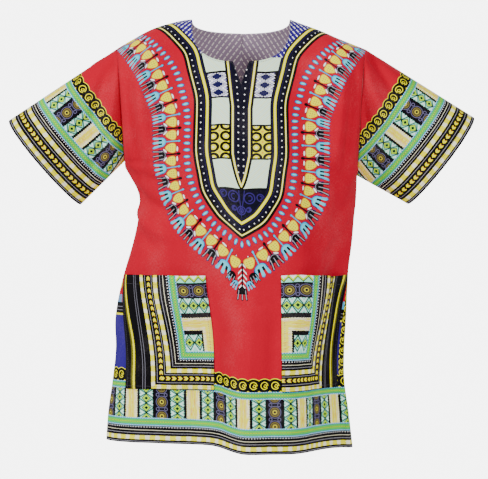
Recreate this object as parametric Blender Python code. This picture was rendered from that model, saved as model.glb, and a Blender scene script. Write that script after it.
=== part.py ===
"""Dashiki shirt, a loose pull-over shirt of printed cotton, in the hollow form of one that is worn.

A maker cuts and sews six pieces: front, back, two sleeves and two patch pockets. Each is one
cloth wall here, an outer surface worked out from the garment's sizes and an inner one behind it.
The frame's origin is the middle of the shoulder line, +X is to the right as seen from the front,
+Y is to the back and +Z is up. All sizes are in metres.
"""

import functools
import math
from typing import NamedTuple

import bmesh
import bpy
import numpy as np

WALL = 0.0015  # thickness of the cloth wall
SEAM_GAP = 0.0003  # between two walls that are sewn together

SHOULDER_X = 0.225  # from the middle to the end of the shoulder seam
SHOULDER_DROP = 0.055  # from the neck to the end of the shoulder seam
SHOULDER_BEND_LEFT, SHOULDER_BEND_RIGHT = 1.6, 1.0  # above 1, it slopes more towards its end
NECK_X = 0.088  # half the width of the neck at the shoulder seam
FRONT_NECK_DROP = 0.083
BACK_NECK_DROP = 0.020
NECK_POWER = 2.8  # of the superellipse that the neckline follows
SLIT_BOTTOM = -0.123  # height of the lowest point of the neck slit
SLIT_HALF_WIDTH = 0.014  # at the top of the slit
ARMPIT_Z = -0.268
ARMPIT_TILT = 0.013  # the left armpit is this much higher, and the right one lower
ARMHOLE_BULGE = 0.064  # how far the armhole reaches to the front and to the back
HEM_Z = -0.768
HEM_LIFT_LEFT = 0.014
SECTION_POWERS = (1.8, 2.5)  # of a level section: how flat its middle is, and how round its sides
CHEST_POWER = 1.7  # of the curve from the chest up to the shoulder

POCKET_INNER, POCKET_OUTER = 0.069, 0.236  # from the middle line, along the cloth
POCKET_COLUMNS = (4, 16)  # the columns of the half panel at those two edges
POCKET_TOP_Z, POCKET_BOTTOM_Z = -0.459, -0.660
POCKET_GAPE = 0.016  # how far the mouth stands off the front at its widest

RED, BLACK = (0.80, 0.02, 0.05, 1.0), (0.02, 0.02, 0.03, 1.0)
GREEN = (0.42, 0.72, 0.38, 1.0)
CLOTH_ROUGHNESS = 0.75


class Level(NamedTuple):
    """A level section of the body: its height, its reach each way and where its middle line is."""

    z: float
    left: float
    right: float
    front: float
    back: float
    middle: float


LEVELS = (
    Level(z=-0.768, left=-0.243, right=0.201, front=0.086, back=0.125, middle=0.004),
    Level(z=-0.700, left=-0.238, right=0.193, front=0.088, back=0.123, middle=0.004),
    Level(z=-0.650, left=-0.231, right=0.186, front=0.090, back=0.121, middle=0.003),
    Level(z=-0.590, left=-0.225, right=0.186, front=0.095, back=0.119, middle=0.003),
    Level(z=-0.540, left=-0.226, right=0.189, front=0.099, back=0.117, middle=0.003),
    Level(z=-0.489, left=-0.218, right=0.191, front=0.104, back=0.115, middle=0.002),
    Level(z=-0.453, left=-0.209, right=0.193, front=0.108, back=0.114, middle=0.002),
    Level(z=-0.397, left=-0.193, right=0.200, front=0.114, back=0.113, middle=0.002),
    Level(z=-0.358, left=-0.185, right=0.203, front=0.118, back=0.113, middle=0.001),
    Level(z=-0.318, left=-0.183, right=0.207, front=0.121, back=0.114, middle=0.001),
    Level(z=-0.265, left=-0.209, right=0.209, front=0.122, back=0.115, middle=0.000),
)


class Fold(NamedTuple):
    """A soft upright fold: where it is on the cloth at its top and bottom, and how it stands out.

    It lies between two distances along the cloth from the middle line, which are where its flanks
    are halfway up. rise is how far it stands out, all of it from full_z down to the hem, and it
    fades to nothing at top_z.
    """

    from_top: float
    to_top: float
    from_low: float
    to_low: float
    from_flank: float
    to_flank: float
    rise: float
    top_z: float
    full_z: float


FRONT_FOLDS = (
    Fold(from_top=0.000, to_top=0.150, from_low=-0.032, to_low=0.115, from_flank=0.090,
         to_flank=0.070, rise=0.064, top_z=-0.300, full_z=-0.640),
    Fold(from_top=0.180, to_top=0.235, from_low=0.150, to_low=0.200, from_flank=0.040,
         to_flank=0.040, rise=-0.022, top_z=-0.300, full_z=-0.540),
    Fold(from_top=-0.210, to_top=-0.150, from_low=-0.240, to_low=-0.180, from_flank=0.050,
         to_flank=0.050, rise=0.008, top_z=-0.500, full_z=-0.768),
)
BACK_FOLDS = (
    Fold(from_top=-0.100, to_top=-0.020, from_low=-0.130, to_low=-0.040, from_flank=0.060,
         to_flank=0.060, rise=0.018, top_z=-0.220, full_z=-0.768),
    Fold(from_top=0.010, to_top=0.090, from_low=0.030, to_low=0.130, from_flank=0.060,
         to_flank=0.060, rise=0.022, top_z=-0.240, full_z=-0.768),
    Fold(from_top=-0.180, to_top=-0.120, from_low=-0.220, to_low=-0.160, from_flank=0.050,
         to_flank=0.050, rise=-0.010, top_z=-0.300, full_z=-0.768),
    Fold(from_top=0.130, to_top=0.190, from_low=0.170, to_low=0.220, from_flank=0.050,
         to_flank=0.050, rise=0.012, top_z=-0.320, full_z=-0.768),
)


class Cuff(NamedTuple):
    """The open end of a sleeve: its highest and lowest points, seen from the front."""

    top_x: float
    top_z: float
    low_x: float
    low_z: float


CUFFS = {
    "left": Cuff(top_x=-0.416, top_z=-0.181, low_x=-0.288, low_z=-0.333),
    "right": Cuff(top_x=0.418, top_z=-0.176, low_x=0.300, low_z=-0.332),
}
CUFF_DEPTH = 0.070  # scale of the cuff's reach to the front and to the back
CUFF_TAPER = 0.62  # how much of that is lost at the hanging lower edge
CUFF_BOW = 0.0095  # how far the cuff's front edge is bowed out along the sleeve

SHARES = (0.0, 0.034, 0.068, 0.11, 0.17, 0.23, 0.285, 0.335, 0.37, 0.3915,
          0.45, 0.51, 0.57, 0.63, 0.69, 0.75, 0.81, 0.875, 0.94, 1.0)  # of the columns
NECK_COLUMN = NECK_X / SHOULDER_X - 1e-4  # from here out the columns end on the shoulder seam
BODY_ROWS_BELOW_POCKET, POCKET_ROWS, BODY_ROWS_ABOVE_POCKET = 4, 7, 7
CHEST_ROWS = 12
SLEEVE_ROWS = 9
FINE = 241  # points along a curve that is measured before it is divided


def eased(share):
    """0 up to 0 and 1 from 1 on, with a smooth rise between them."""
    t = np.clip(share, 0.0, 1.0)
    return t * t * (3 - 2 * t)


def powered(value, power):
    """value to that power, with its own sign."""
    return np.sign(value) * np.abs(value) ** power


def smooth_through(at, knots, values):
    """A smooth curve through the values at rising knots, read at one height or more."""
    knots, values = np.asarray(knots), np.asarray(values)
    slopes = np.gradient(values, knots)
    i = np.clip(np.searchsorted(knots, at) - 1, 0, len(knots) - 2)
    span = knots[i + 1] - knots[i]
    t = np.clip((at - knots[i]) / span, 0.0, 1.0)
    rise = values[i + 1] - values[i]
    return (
        values[i]
        + rise * t * t * (3 - 2 * t)
        + span * t * (1 - t) * (slopes[i] * (1 - t) - slopes[i + 1] * t)
    )


def level_size(name, z):
    """A column of the table of levels, at height z."""
    return smooth_through(z, [row.z for row in LEVELS], [getattr(row, name) for row in LEVELS])


def lengths_along(points):
    """The distance along a line of points, from its first point."""
    steps = np.linalg.norm(np.diff(points, axis=0), axis=1)
    return np.concatenate([[0.0], np.cumsum(steps)])


def fold_rise(folds, along, z):
    """How far the folds move the cloth outwards, along the cloth from its middle line."""
    total = np.zeros_like(along)
    for fold in folds:
        down = eased((fold.top_z - z) / (fold.top_z - fold.full_z))
        start = fold.from_top + (fold.from_low - fold.from_top) * down
        end = fold.to_top + (fold.to_low - fold.to_top) * down
        near, far = (along - start) / fold.from_flank, (end - along) / fold.to_flank
        total += fold.rise * down * eased(0.5 + near) * eased(0.5 + far)
    return total


@functools.lru_cache(maxsize=None)
def level_line(side, z):
    """The body's section at height z, from its left side seam to its right one.

    side is -1 for the front and 1 for the back. Returns its points and, for each of them, the
    distance along the cloth from the middle line, which is below 0 to the left.
    """
    left, right = level_size("left", z), level_size("right", z)
    depth = level_size("front" if side < 0 else "back", z)
    flat, rounded = SECTION_POWERS
    across = np.sin(np.linspace(-math.pi / 2, math.pi / 2, FINE))
    across = powered(across, 1 - 0.3 * np.abs(across))
    x = (right + left) / 2 + (right - left) / 2 * across
    y = depth * (1 - np.abs(across) ** flat) ** (1 / rounded)
    middle = level_size("middle", z)

    def along_of(points):
        length = lengths_along(points)
        return length - np.interp(middle, points[:, 0], length)

    plain = along_of(np.stack([x, y], axis=1))
    ends = eased(np.minimum(plain - plain[0], plain[-1] - plain) / 0.05)
    y = y + fold_rise(FRONT_FOLDS if side < 0 else BACK_FOLDS, plain, z) * ends
    return np.stack([x, side * y], axis=1), along_of(np.stack([x, y], axis=1))


def armpit_z(share):
    """The height of the armpits, which runs level but for a small tilt from left to right."""
    return ARMPIT_Z - ARMPIT_TILT * share


def hem_z(share):
    """The height of the hem, which is lifted on the left."""
    return HEM_Z + HEM_LIFT_LEFT * (0.75 * eased(0.1 - share / 0.22) + 0.25 * eased(-share))


def distance_along(side, share, z, along):
    """Where a column crosses this height, as a distance along the cloth from the middle line.

    The columns share out the half panel evenly, except that beside the pockets those at a
    pocket's edges run straight down the cloth, and the others make room for them.
    """
    half = abs(along[0] if share < 0 else along[-1])
    straight = eased((POCKET_TOP_Z + 0.09 - z) / 0.09) if side < 0 else 0.0
    knots = [0.0, *(SHARES[i] for i in POCKET_COLUMNS), 1.0]
    places = [0.0, POCKET_INNER / half, POCKET_OUTER / half, 1.0]
    moved = np.interp(abs(share), knots, places)
    return math.copysign(half, share) * (abs(share) + (moved - abs(share)) * straight)


def below_armpit(side, share, z):
    """A point of the body's surface at that height."""
    line, along = level_line(side, round(float(z), 6))
    at = distance_along(side, share, z, along)
    return np.array([np.interp(at, along, line[:, 0]), np.interp(at, along, line[:, 1]), z])


def shoulder_z(x):
    """The height of the shoulder line, and over the neck that of a line that carries it on."""
    past = (np.abs(x) - NECK_X) / (SHOULDER_X - NECK_X)
    return -SHOULDER_DROP * powered(past, SHOULDER_BEND_LEFT if x < 0 else SHOULDER_BEND_RIGHT)


def above_armpit(side, share, rise):
    """A point of the chest or upper back: rise is 0 at the armpit and 1 on the shoulder line."""
    base = below_armpit(side, share, armpit_z(share))
    turn = rise * math.pi / 2
    up, out = math.sin(turn) ** (2 / CHEST_POWER), math.cos(turn) ** (2 / CHEST_POWER)
    top_x = SHOULDER_X * share
    x = base[0] + (top_x - base[0]) * rise**1.5
    z = base[2] + (shoulder_z(top_x) - base[2]) * up
    bulge = ARMHOLE_BULGE * math.sin(math.pi * rise) ** 0.8 * eased((abs(share) - 0.35) / 0.65)
    return np.array([x, base[1] * out + side * bulge, z])


def neckline_z(side, x):
    """The height of the neck's edge, seen from the front, with the slit in the front piece."""
    across = min(abs(x) / NECK_X, 1.0)
    drop = FRONT_NECK_DROP if side < 0 else BACK_NECK_DROP
    round_neck = -drop * (1 - across**NECK_POWER) ** (1 / NECK_POWER)
    if side > 0:
        return round_neck
    slit_height = round_neck - SLIT_BOTTOM
    return min(round_neck, SLIT_BOTTOM + slit_height * abs(x) / SLIT_HALF_WIDTH)


def top_rise(side, share):
    """How far up towards the shoulder line the cloth goes: 1, or less below the neckline."""
    if abs(share) >= NECK_COLUMN:
        return 1.0
    low, high = 0.0, 1.0
    for _ in range(40):
        middle = (low + high) / 2
        point = above_armpit(side, share, middle)
        if point[2] < neckline_z(side, point[0]):
            low = middle
        else:
            high = middle
    return low


def row_heights():
    """The heights of the rows from hem to armpit on the middle line. Two are the pocket's edges."""
    return np.concatenate(
        [
            np.linspace(HEM_Z, POCKET_BOTTOM_Z, BODY_ROWS_BELOW_POCKET + 1)[:-1],
            np.linspace(POCKET_BOTTOM_Z, POCKET_TOP_Z, POCKET_ROWS + 1)[:-1],
            np.linspace(POCKET_TOP_Z, ARMPIT_Z, BODY_ROWS_ABOVE_POCKET + 1),
        ]
    )


def height_at(share, row_z):
    """A row's height on this column: level beside the pockets, and tilted at hem and armpits."""
    to_hem = np.clip((POCKET_BOTTOM_Z - row_z) / (POCKET_BOTTOM_Z - HEM_Z), 0.0, 1.0)
    to_armpit = np.clip((row_z - POCKET_TOP_Z) / (ARMPIT_Z - POCKET_TOP_Z), 0.0, 1.0)
    lift = (hem_z(share) - HEM_Z) * to_hem + (armpit_z(share) - ARMPIT_Z) * to_armpit
    return row_z + lift


def body_panel(side):
    """The front or back as a grid of points, rows from hem to top and columns left to right."""
    shares = [-c for c in reversed(SHARES[1:])] + list(SHARES)
    heights = row_heights()
    grid = np.zeros((len(heights) + CHEST_ROWS, len(shares), 3))
    for j, share in enumerate(shares):
        for i, row_z in enumerate(heights):
            grid[i, j] = below_armpit(side, share, height_at(share, row_z))
        top = top_rise(side, share)
        for k in range(1, CHEST_ROWS + 1):
            grid[len(heights) - 1 + k, j] = above_armpit(side, share, top * k / CHEST_ROWS)
    grid[:, [0, -1], 1] += side * SEAM_GAP / 2
    on_shoulder = np.abs(shares) >= NECK_COLUMN
    grid[-1, on_shoulder, 1] = side * SEAM_GAP / 2
    return grid


def cuff_ring(cuff, turns):
    """The points of a sleeve's open end. turns runs once round, from the top past the front."""
    outward = math.copysign(1.0, cuff.top_x)
    top = np.array([cuff.top_x, 0.0, cuff.top_z])
    drop = np.array([cuff.low_x, 0.0, cuff.low_z]) - top
    along = np.array([-drop[2] * outward, 0.0, drop[0] * outward]) / np.linalg.norm(drop)
    ring = []
    for turn in turns * 2 * math.pi:
        down = (1 - math.cos(turn)) / 2
        reach = CUFF_DEPTH * math.sin(turn) * (1 - CUFF_TAPER * down)
        bow = CUFF_BOW * math.sin(turn) * (1.0 if math.sin(turn) > 0 else 0.5)
        ring.append(top + drop * down + along * bow + np.array([0.0, -reach, 0.0]))
    return np.array(ring)


def sleeve(name, front, back):
    """A sleeve as a closed grid: rows from the armhole to the cuff, columns once round."""
    edge = -1 if name == "right" else 0
    first = front.shape[0] - 1 - CHEST_ROWS
    armhole = np.concatenate([front[:first - 1:-1, edge], back[first + 1:, edge]])
    armhole[:, 1] = np.where(np.abs(armhole[:, 1]) <= SEAM_GAP, 0.0, armhole[:, 1])
    turns = np.linspace(0.0, 1.0, len(armhole))
    cuff = cuff_ring(CUFFS[name], turns)
    rows = []
    for share in np.linspace(0.0, 1.0, SLEEVE_ROWS + 1):
        ring = armhole + (cuff - armhole) * share
        crease = np.exp(-(((turns - 0.30) / 0.07) ** 2)) * math.sin(math.pi * share) ** 2
        ring = ring + np.outer(crease, [0.0, 0.009, 0.0])
        rows.append(ring)
    grid = np.array(rows)
    outward = math.copysign(1.0, CUFFS[name].top_x)
    grid[0, :, 0] += outward * SEAM_GAP
    return grid


def normals_of(grid, closed=False):
    """The unit normal at each point of a grid, to the side that its rows and columns turn to."""
    if closed:
        wrapped = np.concatenate([grid[:, -2:-1], grid, grid[:, 1:2]], axis=1)
        across = (wrapped[:, 2:] - wrapped[:, :-2]) / 2
    else:
        across = np.gradient(grid, axis=1)
    up = np.gradient(grid, axis=0)
    cross = np.cross(across, up)
    return cross / np.linalg.norm(cross, axis=2, keepdims=True)


def share_armhole_normals(front_n, back_n, sleeve_n, edge):
    """Gives the walls one direction where a sleeve meets the body, so that the seam is a mitre."""
    first = front_n.shape[0] - 1 - CHEST_ROWS
    from_front, from_back = front_n[:first - 1:-1, edge], back_n[first + 1:, edge]
    both = np.concatenate([from_front, from_back]) + sleeve_n[0]
    both /= np.linalg.norm(both, axis=1, keepdims=True)
    sleeve_n[0] = both
    front_n[:first - 1:-1, edge] = both[: CHEST_ROWS + 1]
    back_n[first + 1:, edge] = both[CHEST_ROWS + 1:]


def square_off_seams(normals, on_shoulder):
    """Turns the walls' ends into the plane of the side seams and of the shoulder seams."""
    below = normals.shape[0] - 1 - CHEST_ROWS
    for edge in (0, -1):
        normals[: below + 1, edge, 1] = 0.0
    normals[-1, on_shoulder, 1] = 0.0
    normals /= np.linalg.norm(normals, axis=2, keepdims=True)


def cloth_material(name, colour):
    """A plain woven finish of one colour."""
    material = bpy.data.materials.new(name)
    material.use_nodes = True
    shader = material.node_tree.nodes["Principled BSDF"]
    shader.inputs["Base Color"].default_value = colour
    shader.inputs["Roughness"].default_value = CLOTH_ROUGHNESS
    shader.inputs["Metallic"].default_value = 0.0
    material.diffuse_color = colour
    return material


def wall_object(name, outer, normals, colour, closed=False):
    """A cloth wall as one named solid: the outer grid, and the same grid moved in behind it."""
    rows, columns = outer.shape[:2]
    bm = bmesh.new()
    bmesh.ops.create_grid(bm, x_segments=columns - 1, y_segments=rows - 1, size=1.0)
    place = bm.verts.layers.int.new("place")
    for vert in bm.verts:
        column = round((vert.co.x + 1) / 2 * (columns - 1))
        row = round((vert.co.y + 1) / 2 * (rows - 1))
        vert.co = outer[row, column]
        vert[place] = row * columns + column
    if closed:
        bmesh.ops.remove_doubles(bm, verts=bm.verts[:], dist=1e-6)
    made = bmesh.ops.extrude_face_region(bm, geom=bm.faces[:], use_keep_orig=True)
    inner = (outer - WALL * normals).reshape(-1, 3)
    for vert in made["geom"]:
        if isinstance(vert, bmesh.types.BMVert):
            vert.co = inner[vert[place]]
    bmesh.ops.recalc_face_normals(bm, faces=bm.faces[:])
    mesh = bpy.data.meshes.new(name)
    bm.to_mesh(mesh)
    bm.free()
    mesh.shade_smooth()
    mesh.materials.append(cloth_material(name, colour))
    obj = bpy.data.objects.new(name, mesh)
    bpy.context.scene.collection.objects.link(obj)
    return obj


def pocket_grid(front, normals, shares, side):
    """A patch pocket's outer points and normals, from the front's own points moved out."""
    rows = slice(BODY_ROWS_BELOW_POCKET, BODY_ROWS_BELOW_POCKET + POCKET_ROWS + 1)
    inner, outer = (SHARES[i] for i in POCKET_COLUMNS)
    columns = np.flatnonzero((side * shares >= inner - 1e-6) & (side * shares <= outer + 1e-6))
    base, outward = front[rows][:, columns], normals[rows][:, columns]
    across = np.linspace(0.0, 1.0, len(columns))
    if side < 0:
        across = across[::-1]
    height = np.linspace(0.0, 1.0, POCKET_ROWS + 1)
    gape = POCKET_GAPE * np.outer(eased(height * 1.15 - 0.1), np.sin(math.pi * across**0.8) ** 1.2)
    offset = SEAM_GAP + WALL + gape
    return base + outward * offset[..., None], outward


def build_shirt():
    """Builds the six sewn pieces."""
    for obj in list(bpy.data.objects):
        bpy.data.objects.remove(obj)
    shares = np.array([-c for c in reversed(SHARES[1:])] + list(SHARES))
    on_shoulder = np.abs(shares) >= NECK_COLUMN
    front, back = body_panel(-1), body_panel(1)
    front_n, back_n = normals_of(front), -normals_of(back)
    square_off_seams(front_n, on_shoulder)
    square_off_seams(back_n, on_shoulder)
    sleeves = {}
    for name, edge, turned in (("left", 0, -1), ("right", -1, 1)):
        grid = sleeve(name, front, back)
        sleeves[name] = (grid, turned * normals_of(grid, closed=True))
        share_armhole_normals(front_n, back_n, sleeves[name][1], edge)
    wall_object("front", front, front_n, RED)
    wall_object("back", back, back_n, RED)
    for name, (grid, normals) in sleeves.items():
        wall_object(f"sleeve_{name}", grid, normals, GREEN, closed=True)
    for name, side in (("left", -1), ("right", 1)):
        outer, normals = pocket_grid(front, front_n, shares, side)
        wall_object(f"pocket_{name}", outer, normals, BLACK)


build_shirt()
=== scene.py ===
"""Dresses the dashiki shirt: thin printed cotton shells on the form of its six sewn pieces."""

from __future__ import annotations

import functools
import logging
import math
from dataclasses import dataclass, field
from enum import Enum

import bmesh
import bpy
import numpy as np
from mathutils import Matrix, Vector


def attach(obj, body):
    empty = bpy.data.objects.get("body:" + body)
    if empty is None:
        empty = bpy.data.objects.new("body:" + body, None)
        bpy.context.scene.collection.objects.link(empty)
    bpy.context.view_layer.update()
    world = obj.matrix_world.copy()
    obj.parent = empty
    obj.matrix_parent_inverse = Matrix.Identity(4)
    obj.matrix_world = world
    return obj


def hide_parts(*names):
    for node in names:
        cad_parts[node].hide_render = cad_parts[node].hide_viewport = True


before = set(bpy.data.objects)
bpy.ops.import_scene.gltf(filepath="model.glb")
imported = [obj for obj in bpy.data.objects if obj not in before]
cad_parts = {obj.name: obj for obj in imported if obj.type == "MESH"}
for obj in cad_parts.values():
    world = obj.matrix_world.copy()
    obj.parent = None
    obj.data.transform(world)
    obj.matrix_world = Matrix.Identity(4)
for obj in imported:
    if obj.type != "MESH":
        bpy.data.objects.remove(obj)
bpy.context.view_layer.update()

log = logging.getLogger("dashiki")

Colour = tuple[float, float, float]
Band = tuple[float, float]


def eased(share: np.ndarray | float) -> np.ndarray:
    """Returns 0 up to 0 and 1 from 1 on, with a smooth rise between them."""
    t = np.clip(share, 0.0, 1.0)
    return t * t * (3 - 2 * t)


def powered(value: np.ndarray | float, power: np.ndarray | float) -> np.ndarray:
    """Returns value to that power, with its own sign."""
    return np.sign(value) * np.abs(value) ** power


def lengths_along(points: np.ndarray) -> np.ndarray:
    """Returns the distance along a line of points, from its first point."""
    steps = np.linalg.norm(np.diff(points, axis=0), axis=1)
    return np.concatenate([[0.0], np.cumsum(steps)])


def between(values: tuple[float, ...], parts: int) -> np.ndarray:
    """Returns the values with each step between them divided into equal parts."""
    knots = np.arange(len(values)) * parts
    return np.interp(np.arange(knots[-1] + 1), knots, values)


def smoothed(line: np.ndarray, rounds: int) -> np.ndarray:
    """Rounds off a line of points and keeps its ends.

    Args:
        line: The points, which are changed.
        rounds: How many times it is done.

    Returns:
        The same line.
    """
    for _ in range(rounds):
        line[1:-1] = (line[:-2] + 2 * line[1:-1] + line[2:]) / 4
    return line


def place_along(line: np.ndarray, run: np.ndarray, at: float) -> np.ndarray:
    """Returns the place on a line of points, at a distance along it."""
    return np.array([np.interp(at, run, line[:, k]) for k in range(3)])


def unit_normals(across: np.ndarray, upwards: np.ndarray, sign: float) -> np.ndarray:
    """Returns a grid's unit normals, from its steps across and upwards, times the sign."""
    cross = np.cross(across, upwards)
    return cross / np.linalg.norm(cross, axis=2, keepdims=True) * sign


def linked(bm: bmesh.types.BMesh, name: str, material: bpy.types.Material) -> bpy.types.Object:
    """Turns a finished bmesh into an object in the scene.

    Args:
        bm: The mesh, which is freed.
        name: The name of the object and its mesh.
        material: Its material.

    Returns:
        The object.
    """
    mesh = bpy.data.meshes.new(name)
    bm.to_mesh(mesh)
    bm.free()
    mesh.materials.append(material)
    made = bpy.data.objects.new(name, mesh)
    bpy.context.scene.collection.objects.link(made)
    return made


def screen(red: int, green: int, blue: int) -> Colour:
    """Returns a colour given as it looks on a screen, 0 to 255, as linear light."""
    shares = [c / 255 for c in (red, green, blue)]
    return tuple(c / 12.92 if c <= 0.04045 else ((c + 0.055) / 1.055) ** 2.4 for c in shares)


class Side(Enum):
    """Which way a body panel faces along Y."""

    FRONT = -1
    BACK = 1


@dataclass(frozen=True)
class Level:
    """A level section of the body: its height, its reach each way and its middle line."""

    z: float
    left: float
    right: float
    front: float
    back: float
    middle: float


@dataclass(frozen=True)
class Fold:
    """A soft upright fold, between two distances along the cloth at its top and at its bottom."""

    from_top: float
    to_top: float
    from_low: float
    to_low: float
    from_flank: float
    to_flank: float
    rise: float
    top_z: float
    full_z: float


@dataclass(frozen=True)
class Crease:
    """A soft trough or ridge on the cloth.

    It runs from the point u, h of the flat cloth to another, width wide, and stands out by rise,
    or sinks in where rise is below 0.
    """

    u: float
    h: float
    to_u: float
    to_h: float
    width: float
    rise: float

    def lift(self, u: np.ndarray, h: np.ndarray) -> np.ndarray:
        """Works out how far the crease moves each point of the cloth outwards.

        Args:
            u: Distances across the cloth.
            h: Distances up the cloth.

        Returns:
            The move along the surface's normal.
        """
        run = np.array([self.to_u - self.u, self.to_h - self.h])
        length = np.hypot(*run)
        run /= length
        du, dh = u - self.u, h - self.h
        along = (du * run[0] + dh * run[1]) / length
        off = (dh * run[0] - du * run[1]) / (self.width / 2)
        fade = eased(np.minimum(along + 0.15, 1.15 - along) / 0.4)
        return self.rise * fade * np.exp(-(off**2) * 1.5)


LEVELS = (
    Level(z=-0.768, left=-0.243, right=0.201, front=0.086, back=0.125, middle=0.004),
    Level(z=-0.700, left=-0.238, right=0.193, front=0.088, back=0.123, middle=0.004),
    Level(z=-0.650, left=-0.231, right=0.186, front=0.090, back=0.121, middle=0.003),
    Level(z=-0.590, left=-0.225, right=0.186, front=0.095, back=0.119, middle=0.003),
    Level(z=-0.540, left=-0.226, right=0.189, front=0.099, back=0.117, middle=0.003),
    Level(z=-0.489, left=-0.218, right=0.191, front=0.104, back=0.115, middle=0.002),
    Level(z=-0.453, left=-0.209, right=0.193, front=0.108, back=0.114, middle=0.002),
    Level(z=-0.397, left=-0.193, right=0.200, front=0.114, back=0.113, middle=0.002),
    Level(z=-0.358, left=-0.185, right=0.203, front=0.118, back=0.113, middle=0.001),
    Level(z=-0.318, left=-0.183, right=0.207, front=0.121, back=0.114, middle=0.001),
    Level(z=-0.265, left=-0.209, right=0.209, front=0.122, back=0.115, middle=0.000),
)
# A fold's columns: its ends at the top, its ends below, its flanks, its rise and its heights.
FOLDS = {
    Side.FRONT: (
        Fold(0.000, 0.150, -0.032, 0.115, 0.090, 0.070, 0.064, -0.300, -0.640),
        Fold(0.180, 0.235, 0.150, 0.200, 0.040, 0.040, -0.022, -0.300, -0.540),
        Fold(-0.210, -0.150, -0.240, -0.180, 0.050, 0.050, 0.008, -0.500, -0.768),
    ),
    Side.BACK: (
        Fold(-0.100, -0.020, -0.130, -0.040, 0.060, 0.060, 0.018, -0.220, -0.768),
        Fold(0.010, 0.090, 0.030, 0.130, 0.060, 0.060, 0.022, -0.240, -0.768),
        Fold(-0.180, -0.120, -0.220, -0.160, 0.050, 0.050, -0.010, -0.300, -0.768),
        Fold(0.130, 0.190, 0.170, 0.220, 0.050, 0.050, 0.012, -0.320, -0.768),
    ),
}
# A crease's columns: u and h where it starts, u and h where it ends, its width and its rise.
CREASES = {
    Side.FRONT: (
        Crease(0.030, 0.215, -0.055, 0.205, 0.018, -0.0016),
        Crease(0.050, 0.262, -0.030, 0.250, 0.020, -0.0013),
        Crease(-0.045, 0.300, 0.045, 0.330, 0.030, -0.0018),
        Crease(0.004, 0.090, 0.002, 0.310, 0.012, -0.0016),
        Crease(-0.208, 0.700, -0.190, 0.500, 0.026, -0.0085),
        Crease(-0.186, 0.690, -0.168, 0.500, 0.026, 0.0045),
        Crease(-0.160, 0.640, -0.150, 0.510, 0.024, -0.0024),
        Crease(0.206, 0.700, 0.194, 0.500, 0.026, -0.0085),
        Crease(0.184, 0.690, 0.172, 0.500, 0.026, 0.0045),
        Crease(-0.245, 0.455, -0.110, 0.405, 0.026, -0.0085),
        Crease(-0.240, 0.425, -0.130, 0.365, 0.026, 0.0060),
        Crease(-0.240, 0.492, -0.130, 0.462, 0.024, -0.0040),
        Crease(-0.225, 0.395, -0.160, 0.345, 0.022, -0.0040),
        Crease(0.245, 0.470, 0.110, 0.350, 0.040, -0.0060),
        Crease(0.245, 0.510, 0.140, 0.440, 0.026, 0.0040),
        Crease(0.240, 0.420, 0.150, 0.330, 0.030, -0.0040),
        Crease(0.110, 0.540, 0.140, 0.330, 0.034, -0.0060),
        Crease(0.150, 0.520, 0.165, 0.360, 0.030, 0.0040),
        Crease(-0.150, 0.050, -0.145, 0.300, 0.040, 0.0030),
        Crease(0.125, 0.020, 0.150, 0.340, 0.030, 0.0030),
        Crease(-0.055, 0.010, -0.060, 0.240, 0.030, -0.0036),
        Crease(0.045, 0.000, 0.058, 0.260, 0.030, -0.0040),
        Crease(-0.120, 0.000, -0.112, 0.110, 0.030, -0.0040),
    ),
    Side.BACK: (
        Crease(-0.190, 0.650, -0.130, 0.480, 0.034, -0.0050),
        Crease(0.190, 0.650, 0.140, 0.490, 0.034, -0.0045),
        Crease(-0.235, 0.450, -0.100, 0.430, 0.030, -0.0035),
        Crease(0.235, 0.470, 0.110, 0.420, 0.032, -0.0030),
        Crease(-0.060, 0.560, 0.070, 0.555, 0.040, -0.0025),
        Crease(0.010, 0.060, -0.005, 0.400, 0.030, -0.0026),
        Crease(-0.120, 0.300, 0.020, 0.345, 0.034, -0.0022),
        Crease(0.170, 0.250, 0.060, 0.300, 0.034, 0.0022),
    ),
}
SLEEVE_CREASES = {
    "sleeve_left": (
        Crease(0.035, 0.235, 0.130, 0.120, 0.030, -0.0090),
        Crease(0.070, 0.240, 0.165, 0.130, 0.028, 0.0055),
        Crease(0.020, 0.200, 0.085, 0.100, 0.026, 0.0040),
        Crease(0.165, 0.130, 0.205, 0.030, 0.026, -0.0060),
        Crease(0.190, 0.120, 0.150, 0.085, 0.018, 0.0040),
        Crease(0.060, 0.090, 0.080, -0.020, 0.030, -0.0030),
        Crease(-0.080, 0.200, -0.120, 0.060, 0.036, -0.0055),
    ),
    "sleeve_right": (
        Crease(0.030, 0.235, 0.100, 0.110, 0.030, -0.0085),
        Crease(0.065, 0.240, 0.140, 0.120, 0.028, 0.0055),
        Crease(0.110, 0.230, 0.175, 0.140, 0.026, -0.0060),
        Crease(0.175, 0.120, 0.160, 0.020, 0.026, -0.0050),
        Crease(0.050, 0.090, 0.065, -0.020, 0.030, -0.0030),
        Crease(-0.080, 0.200, -0.120, 0.060, 0.036, -0.0055),
    ),
}


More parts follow.
